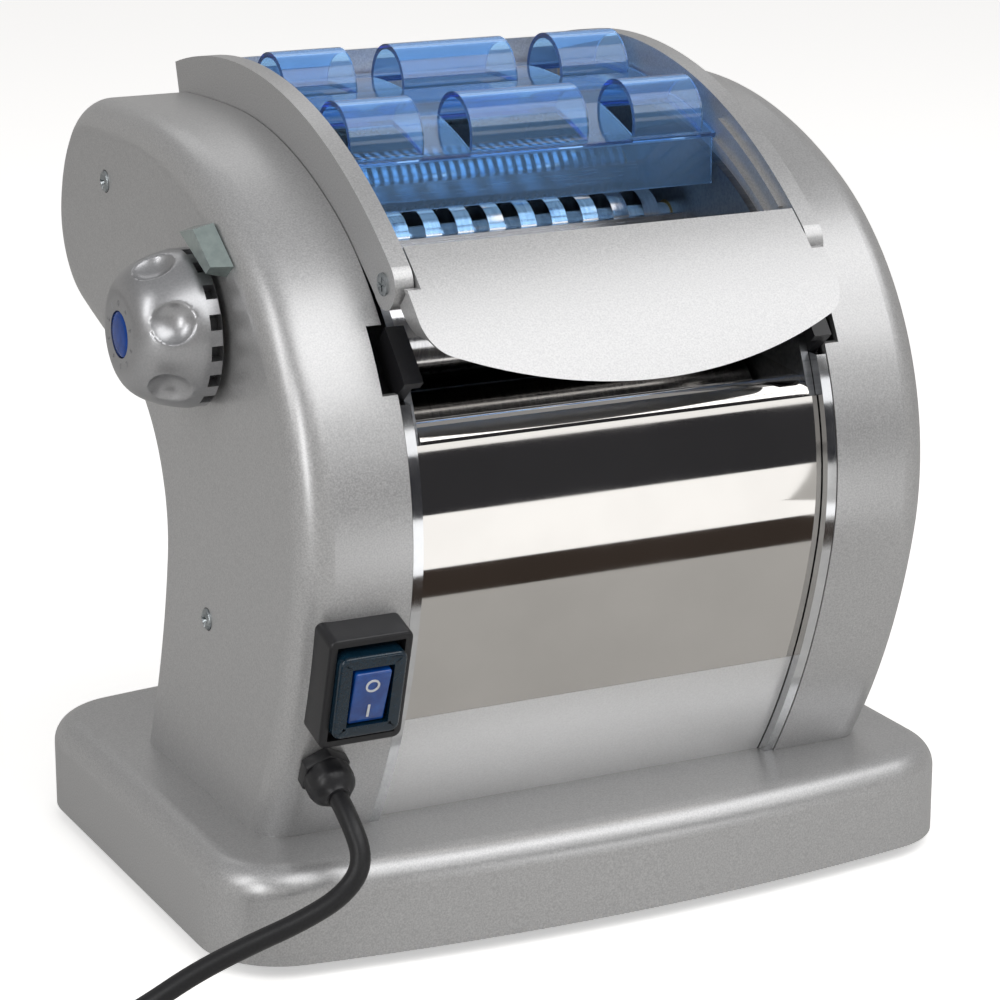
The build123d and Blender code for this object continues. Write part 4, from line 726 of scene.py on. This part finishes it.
# ------------------------------------------------------------------ gap knob
@dataclass
class GapKnob:
    """The roller gap knob with its finger dents, castellated rim, numbers and cap.

    Attributes:
        face: how far the face stands out along the knob's axis.
        back: how far the back of the rim stands out.
        rim: the rim's radius.
        rim_depth: the rim's thickness along the axis.
        face_radius: the flat face's radius.
        cap_radius: the blue cap's radius.
        dents: the number of finger dents.
        dent_ball: the radius of the ball that presses each dent.
        dent_arm: how far the balls' middles stand from the axis.
        dent_drop: how far they lie behind the face.
        slots: the number of slots in the rim.
        slot_steps: the steps of the turned shape from slot to slot.
        slot_half: half a slot's width, as a share of the way from slot to slot.
        slot_depth: how far the slots sink into the rim.
        dent_phase: the first dent's direction, in radians.
        slot_phase: the first slot's direction, in radians.
        numbers: how many numbers the face carries, from 0.
        number_size: the numbers' size.
        number_arm: how far they stand from the axis.
        number_rise: how far they are raised.
    """

    shop: Workshop
    face: float = 155.8
    back: float = 128.0
    rim: float = 28.0
    rim_depth: float = 5.0
    face_radius: float = 13.5
    cap_radius: float = 8.2
    dents: int = 6
    dent_ball: float = 10.5
    dent_arm: float = 31.0
    dent_drop: float = 8.6
    slots: int = 16
    slot_steps: int = 12
    slot_half: float = 0.21
    slot_depth: float = 4.5
    dent_phase: float = math.radians(18.0)
    slot_phase: float = math.radians(-7.5)
    numbers: int = 10
    number_size: float = 2.9
    number_arm: float = 11.1
    number_rise: float = 0.15

    def seat(self) -> Matrix:
        """Returns the knob's seat: local Z points out of the left side."""
        return frame_matrix(KNOB_AXIS, Vector((-1, 0, 0)), Vector((0, 0, 1)))

    def build(self) -> None:
        """Builds the knob, its numbers, its black ring of painted shade in the slots and its cap.
        """
        self.body()
        self.number_ring()
        self.shade_ring()
        self.cap()

    def shade_ring(self) -> bpy.types.Object:
        """Makes the black ring that shows through the rim's slots: painted shade on the slot
        floors, where the recesses fall dark.
        """
        low, high = self.back + 0.4, self.back + 4.7
        section = [(24.0, low), (24.0, high), (22.0, high), (22.0, low), (24.0, low)]
        ring = spun(section, self.seat(), 64)
        # The ring's black is painted shade: it darkens the slot floors, where the rim's recesses
        # fall dark.
        return self.shop.piece(ring, "rim_shade_ring", "black_plastic", "knob")

    def cap(self) -> bpy.types.Object:
        """Makes the flat blue cap in the face."""
        radius, top = self.cap_radius, 156.0
        section = [
            (0, 150.2), (radius, 150.2), (radius, top - 1.0), (7.7, 155.7), (6.0, top), (0, top),
        ]
        dome = spun(section, self.seat(), 64)
        return self.shop.piece(dome, "knob_cap_dome", "cap_blue", "knob", ("knob_cap",), 60)

    def profile(self) -> list[tuple[float, float]]:
        """Returns the knob's half section as (radius, height) points."""
        points = [(8.4, self.face - 4.0), (8.4, self.face)]
        points += [(radius, self.face) for radius in (10.0, 11.5, 12.8)]
        start, end = Vector((self.face_radius, self.face)), Vector((self.rim, self.back + 6.0))
        bow = Vector((24.5, self.face - 0.6))
        rows = 26
        for row in range(rows + 1):
            share = row / rows
            point = start * (1 - share) ** 2 + bow * 2 * share * (1 - share) + end * share**2
            points.append((point.x, point.y))
        points += [
            (self.rim, self.back + self.rim_depth - 0.5),
            (self.rim, self.back + 0.4),
            (self.rim - 0.5, self.back),
            (23.0, self.back),
            (23.0, self.back + 9.0),
            (9.0, self.back + 9.0),
            (9.0, self.back + 0.5),
            (5.4, self.back + 0.5),
            (5.4, self.back + 12.0),
        ]
        return points

    def body(self) -> bpy.types.Object:
        """Makes the knob's body."""
        steps = self.slots * self.slot_steps
        mesh = spun(self.profile(), Matrix.Identity(4), steps)
        self.cut_slots(mesh)
        self.press_dents(mesh)
        mesh.transform(self.seat())
        return self.shop.piece(mesh, "gap_knob_shell", "knob_plastic", "knob", ("gap_knob",), 38)

    def cut_slots(self, mesh: bmesh.types.BMesh) -> None:
        """Sinks the slots into the rim by moving their faces inwards."""
        low, high = self.back + 0.3, self.back + self.rim_depth - 0.4
        chosen = []
        for item in mesh.faces:
            middle = item.calc_center_median()
            if middle.xy.length > self.rim - 0.4 and low < middle.z < high:
                angle = math.atan2(middle.y, middle.x) - self.slot_phase
                turn = angle / math.tau * self.slots
                if abs(turn - round(turn)) < self.slot_half:
                    chosen.append(item)
        sunk = bmesh.ops.extrude_face_region(mesh, geom=chosen)["geom"]
        bmesh.ops.delete(mesh, geom=chosen, context="FACES")
        for vert in new_verts(sunk):
            vert.co.xy *= (self.rim - self.slot_depth) / self.rim

    def press_dents(self, mesh: bmesh.types.BMesh) -> None:
        """Presses the finger dents into the side, one ball each."""
        inner, low = self.face_radius - 0.1, self.back + 5.5
        for index in range(self.dents):
            angle = math.tau * index / self.dents + self.dent_phase
            arm = Vector((math.cos(angle), math.sin(angle), 0.0)) * self.dent_arm
            centre = arm + Vector((0, 0, self.face - self.dent_drop))
            for vert in mesh.verts:
                gap = vert.co - centre
                on_side = vert.co.xy.length > inner and vert.co.z > low
                if on_side and gap.length < self.dent_ball:
                    vert.co = centre + gap.normalized() * self.dent_ball

    def number_ring(self) -> bpy.types.Object:
        """Makes the raised gap numbers in a ring round the cap."""
        ring = bmesh.new()
        for index in range(self.numbers):
            curve = bpy.data.curves.new("number", "FONT")
            curve.body = str(index)
            curve.size = self.number_size
            curve.align_x = "CENTER"
            curve.align_y = "CENTER"
            curve.extrude = self.number_rise
            text = bpy.data.objects.new("number", curve)
            bpy.context.scene.collection.objects.link(text)
            bpy.context.view_layer.update()
            data = bpy.data.meshes.new_from_object(text)
            turn = Matrix.Rotation(math.tau * index / self.numbers, 4, "Z")
            data.transform(self.seat() @ turn @ Matrix.Translation((0, self.number_arm, self.face)))
            ring.from_mesh(data)
            bpy.data.objects.remove(text)
            bpy.data.curves.remove(curve)
            bpy.data.meshes.remove(data)
        return self.shop.piece(ring, "gap_numbers", "knob_plastic", "knob")


# ------------------------------------------------------------------ mains switch
@dataclass
class MainsSwitch:
    """The splash-proof rocker switch on the left band.

    Attributes:
        foot: the middle of the switch on the band.
        out: the direction out of the band.
        width: the bezel's width.
        height: the bezel's height.
        bezel_depth: how far the bezel stands out of the band.
        boot_size: the splash boot's width and height.
        boot_depth: how far the boot stands out of the band.
        rocker_size: the rocker's width and height.
        rocker_pivot: how far the rocker's pivot stands out of the band.
        rocker_tilt: the rocker's tilt at rest, in degrees.
    """

    shop: Workshop
    foot: Vector = field(default_factory=lambda: Vector((-103.5, -98.943, 109.5)))
    out: Vector = field(default_factory=lambda: Vector((0.0, -0.959, -0.2834)))
    width: float = 31.0
    height: float = 44.0
    bezel_depth: float = 11.0
    boot_size: tuple[float, float] = (24.8, 32.8)
    boot_depth: float = 14.5
    rocker_size: tuple[float, float] = (13.4, 21.8)
    rocker_pivot: float = 8.0
    rocker_tilt: float = 6.0

    def seat(self) -> Matrix:
        """Returns the switch's seat on the band."""
        return frame_matrix(self.foot, self.out, Vector((0, 0, 1)))

    def build(self) -> None:
        """Builds the bezel, the boot and the rocker."""
        bezel = block(self.width, self.height, -4.0, self.bezel_depth, 3.0)
        sink_top(bezel, 2.9, 4.0)
        bezel.transform(self.seat())
        self.shop.piece(bezel, "switch_frame", "black_plastic", nodes=("switch_bezel",))
        boot = block(*self.boot_size, 6.5, self.boot_depth, 3.2)
        sink_top(boot, 4.6, 5.0)
        boot.transform(self.seat())
        self.shop.piece(boot, "splash_boot", "boot_teal", nodes=("switch_boot",))
        rocker = block(*self.rocker_size, -5.0, 6.4, 0.8)
        bevel(rocker, list(top_face(rocker).edges), 0.9)
        tilt = Matrix.Rotation(math.radians(self.rocker_tilt), 4, "X")
        rocker.transform(self.seat() @ Matrix.Translation((0, 0, self.rocker_pivot)) @ tilt)
        self.shop.piece(rocker, "rocker_lens", "lens_blue", "rocker", ("switch_rocker",))


# ------------------------------------------------------------------ screws
@dataclass
class SideScrews:
    """The housings' side screws with their crossed recesses.

    Attributes:
        points: each screw's (Y, Z) on a housing's side.
        side: the housings' outer faces stand this far from the middle.
        radius: the head's radius.
        steps: the steps of the turned head, of which each sixth one has an arm of the cross.
    """

    shop: Workshop
    points: tuple[tuple[float, float], ...] = ((75.8, 252.3), (-17.6, 108.2))
    side: float = 125.0
    radius: float = 4.0
    steps: int = 24

    def build(self) -> None:
        """Builds the four screws as one piece."""
        heads = []
        for side in (-1, 1):
            for y, z in self.points:
                head = self.head()
                seat = frame_matrix(
                    Vector((side * self.side, y, z)), Vector((side, 0, 0)), Vector((0, 0, 1))
                )
                head.transform(seat)
                heads.append(head)
        self.shop.piece(join(heads, Matrix.Identity(4)), "side_screws", "zinc_steel",
                        nodes=("housing_screws",))

    def head(self) -> bmesh.types.BMesh:
        """Makes one pan head on its shank, with a crossed recess."""
        mesh = spun(
            [(0, -16.0), (1.8, -16.0), (1.8, -1.0), (self.radius, -0.9), (self.radius, 0.2),
             (3.6, 0.8), (2.8, 1.1), (1.9, 1.2)],
            Matrix.Identity(4),
            self.steps,
        )
        rim = [edge for edge in mesh.edges if edge.is_boundary]
        filled = bmesh.ops.contextual_create(mesh, geom=rim)["faces"]
        bmesh.ops.poke(mesh, faces=filled)
        for vert in mesh.verts:
            turn = math.atan2(vert.co.y, vert.co.x) / math.tau * self.steps
            if vert.co.xy.length < 1.0:
                vert.co.z = -1.2
            elif 1.15 < vert.co.z < 1.25 and round(turn) % 6 == 0:
                vert.co.z = -0.4
        return mesh


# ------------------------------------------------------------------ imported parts
@dataclass
class PackedParts:
    """The CAD nodes that stay in view, each in its slot's finish."""

    book: FinishBook

    def dress(self, frame: dict) -> None:
        """Gives every node of the frame its slot's material."""
        for row in frame["record"]["subparts"]:
            node = frame["nodes"][row["node"]]
            node.data.materials.clear()
            node.data.materials.append(self.book.materials[row["material_slot"]])
            LOG.info("%s wears %s", row["node"], row["material_slot"])


# ------------------------------------------------------------------ studio
@dataclass(frozen=True)
class Softbox:
    """A soft lamp aimed at the machine.

    Attributes:
        name: the lamp's name.
        azimuth: degrees from straight ahead, towards +X.
        elevation: degrees above the worktop.
        distance: metres from the machine's middle.
        width: metres.
        height: metres.
        radiance: the lamp's brightness, where 1 is paper white.
    """

    name: str
    azimuth: float
    elevation: float
    distance: float
    width: float
    height: float
    radiance: float


@dataclass(frozen=True)
class Card:
    """A card in front of the machine that only shows in reflections.

    Attributes:
        name: the card's name.
        colour: its sRGB colour.
        span: the X of its left and right ends, in metres.
        near: the (Y, Z) of the edge towards the machine, in metres.
        far: the (Y, Z) of the other edge.
        glow: the card's brightness, where 1 is its own colour.
    """

    name: str
    colour: str
    span: tuple[float, float]
    near: tuple[float, float]
    far: tuple[float, float]
    glow: float = 1.0


def seen_directly(tree: bpy.types.NodeTree) -> bpy.types.NodeSocket:
    """Returns a socket that is 1 where the camera looks straight or through glass."""
    path = add_node(tree, "ShaderNodeLightPath")
    seen = add_node(
        tree,
        "ShaderNodeMath",
        {0: path.outputs["Is Camera Ray"], 1: path.outputs["Is Transmission Ray"]},
        operation="MAXIMUM",
    )
    return seen.outputs[0]


@dataclass
class Studio:
    """The worktop, the white surroundings, the lamps and the camera.

    Attributes:
        middle: the point that the lamps are aimed at, in metres.
        camera_place: where the camera stands, in metres.
        camera_view: the camera's viewing direction.
        lens: the camera's focal length in millimetres.
        low_light: the sRGB grey that the parts get from the horizon and below it.
        middle_light: the sRGB grey that they get from 30 degrees up.
        upper_light: the sRGB grey that they get from straight above.
        laminate: the worktop's sRGB colour.
        softboxes: the lamps.
        cards: the cards that the polished plate mirrors.
    """

    middle: Vector = field(default_factory=lambda: Vector((0.0, 0.0, 0.15)))
    camera_place: Vector = field(default_factory=lambda: Vector((-0.53716, -1.096893, 0.48142)))
    camera_view: Vector = field(default_factory=lambda: Vector((0.4274, 0.8611, -0.2756)))
    lens: float = 120.45
    low_light: str = "#B0AEAC"
    middle_light: str = "#9E9D9C"
    upper_light: str = "#ABABAC"
    laminate: str = "#D6D5D3"
    softboxes: tuple[Softbox, ...] = (
        Softbox("key_above", 26.0, 56.0, 1.5, 2.0, 0.72, 1.85),
        Softbox("key_low", 26.0, 33.0, 1.6, 1.1, 0.46, 2.1),
        Softbox("edge_low", -54.0, 14.0, 1.8, 0.12, 0.9, 12.0),
        Softbox("edge_high", -78.0, 34.0, 1.8, 0.12, 1.0, 9.0),
        Softbox("fill_left", -84.0, 30.0, 1.8, 0.7, 0.9, 0.2),
        Softbox("rim_back", 165.0, 46.0, 1.9, 1.4, 0.5, 0.7),
    )
    cards: tuple[Card, ...] = (
        Card("brown_card", "#413934", (-0.01, 0.245), (-0.262, 0.002), (-0.358, 0.002)),
        Card("white_floor", "#FFFFFF", (0.02, 0.295), (-0.358, 0.002), (-0.475, 0.002), 1.5),
        Card("white_wall", "#FFFFFF", (0.05, 0.30), (-0.475, 0.002), (-0.475, 0.105), 1.5),
        Card("dark_wall", "#39393C", (0.04, 0.34), (-0.475, 0.105), (-0.475, 0.272)),
        Card("white_strip", "#FFFFFF", (0.04, 0.34), (-0.475, 0.272), (-0.475, 0.350), 1.4),
        Card("dark_top", "#303033", (0.04, 0.34), (-0.475, 0.350), (-0.475, 0.440)),
    )

    def build(self) -> None:
        """Builds the studio."""
        bpy.context.scene.view_settings.view_transform = "Standard"
        self.camera()
        self.surroundings()
        self.worktop()
        for box in self.softboxes:
            self.lamp(box)
        for card in self.cards:
            self.card(card)

    def camera(self) -> None:
        """Sets the camera."""
        data = bpy.data.cameras.new("camera")
        data.lens = self.lens
        data.sensor_width = 36.0
        data.clip_start = 0.05
        data.clip_end = 50.0
        camera = bpy.data.objects.new("camera", data)
        camera.location = self.camera_place
        camera.rotation_mode = "QUATERNION"
        camera.rotation_quaternion = self.camera_view.to_track_quat("-Z", "Y")
        bpy.context.scene.collection.objects.link(camera)
        bpy.context.scene.camera = camera

    def towards(self, azimuth: float, elevation: float, distance: float) -> Matrix:
        """Returns the matrix of a panel that faces the machine from a direction."""
        side, up = math.radians(azimuth), math.radians(elevation)
        ray = Vector(
            (math.sin(side) * math.cos(up), -math.cos(side) * math.cos(up), math.sin(up))
        )
        turn = ray.to_track_quat("Z", "Y").to_matrix().to_4x4()
        return Matrix.Translation(self.middle + ray * distance) @ turn

    def lamp(self, box: Softbox) -> None:
        """Sets one softbox."""
        data = bpy.data.lights.new(box.name, "AREA")
        data.shape = "RECTANGLE"
        data.size = box.width
        data.size_y = box.height
        data.energy = box.radiance * math.pi * box.width * box.height
        lamp = bpy.data.objects.new(box.name, data)
        lamp.matrix_world = self.towards(box.azimuth, box.elevation, box.distance)
        lamp.visible_camera = False
        bpy.context.scene.collection.objects.link(lamp)

    def card(self, card: Card) -> None:
        """Sets one card, which lamps, shadows and the camera pass by."""
        mesh = bmesh.new()
        left, right = card.span
        corners = [(left, *card.near), (right, *card.near), (right, *card.far), (left, *card.far)]
        mesh.faces.new([mesh.verts.new(corner) for corner in corners])
        data = bpy.data.meshes.new(card.name)
        mesh.to_mesh(data)
        mesh.free()
        material = bpy.data.materials.new(card.name)
        material.use_nodes = True
        tree = material.node_tree
        tree.nodes.clear()
        shown = add_node(
            tree, "ShaderNodeEmission", {"Color": linear(card.colour), "Strength": card.glow}
        )
        add_node(tree, "ShaderNodeOutputMaterial", {"Surface": shown.outputs[0]})
        data.materials.append(material)
        panel = bpy.data.objects.new(card.name, data)
        panel.visible_camera = False
        panel.visible_diffuse = False
        panel.visible_transmission = False
        panel.visible_shadow = False
        bpy.context.scene.collection.objects.link(panel)

    def surroundings(self) -> None:
        """Sets the world: white to the eye and through glass, graded grey on the parts."""
        world = bpy.data.worlds.new("studio")
        world.use_nodes = True
        bpy.context.scene.world = world
        tree = world.node_tree
        tree.nodes.clear()
        seen = seen_directly(tree)
        source = add_node(tree, "ShaderNodeTexCoord")
        parts = add_node(tree, "ShaderNodeSeparateXYZ", {0: source.outputs["Generated"]})
        ramp = add_node(tree, "ShaderNodeValToRGB", {"Fac": parts.outputs["Z"]})
        ramp.color_ramp.elements[0].color = linear(self.low_light)
        ramp.color_ramp.elements[1].color = linear(self.upper_light)
        ramp.color_ramp.elements.new(0.5).color = linear(self.middle_light)
        level = add_node(tree, "ShaderNodeBackground", {"Color": ramp.outputs["Color"]})
        white = add_node(tree, "ShaderNodeBackground", {"Color": linear("#FFFFFF")})
        mixed = add_node(
            tree,
            "ShaderNodeMixShader",
            {0: seen, 1: level.outputs[0], 2: white.outputs[0]},
        )
        add_node(tree, "ShaderNodeOutputWorld", {"Surface": mixed.outputs[0]})

    def worktop(self) -> None:
        """Makes the pale worktop, which keeps the machine's soft shadow."""
        mesh = bmesh.new()
        bmesh.ops.create_grid(mesh, x_segments=1, y_segments=1, size=6.0)
        data = bpy.data.meshes.new("worktop")
        mesh.to_mesh(data)
        mesh.free()
        material = bpy.data.materials.new("white_laminate")
        material.use_nodes = True
        tree = material.node_tree
        tree.nodes.clear()
        seen = seen_directly(tree)
        matt = add_node(tree, "ShaderNodeBsdfDiffuse", {"Color": linear(self.laminate)})
        lift = add_node(
            tree, "ShaderNodeEmission", {"Color": linear("#FFFFFF"), "Strength": seen}
        )
        half = add_node(
            tree, "ShaderNodeMixShader", {0: 0.5, 1: matt.outputs[0], 2: lift.outputs[0]}
        )
        shown = add_node(tree, "ShaderNodeAddShader", {0: half.outputs[0], 1: matt.outputs[0]})
        chosen = add_node(
            tree,
            "ShaderNodeMixShader",
            {0: seen, 1: matt.outputs[0], 2: shown.outputs[0]},
        )
        add_node(tree, "ShaderNodeOutputMaterial", {"Surface": chosen.outputs[0]})
        data.materials.append(material)
        top = bpy.data.objects.new("worktop", data)
        bpy.context.scene.collection.objects.link(top)


def main() -> None:
    """Builds the studio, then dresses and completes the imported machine."""
    logging.basicConfig(level=logging.INFO, format="%(message)s")
    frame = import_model()
    Studio().build()
    book = FinishBook()
    shop = Workshop(book)
    MainsLead(shop).build()
    PackedParts(book).dress(frame)
    GapKnob(shop).build()
    MainsSwitch(shop).build()
    SideScrews(shop).build()


if __name__ == "__main__":
    main()
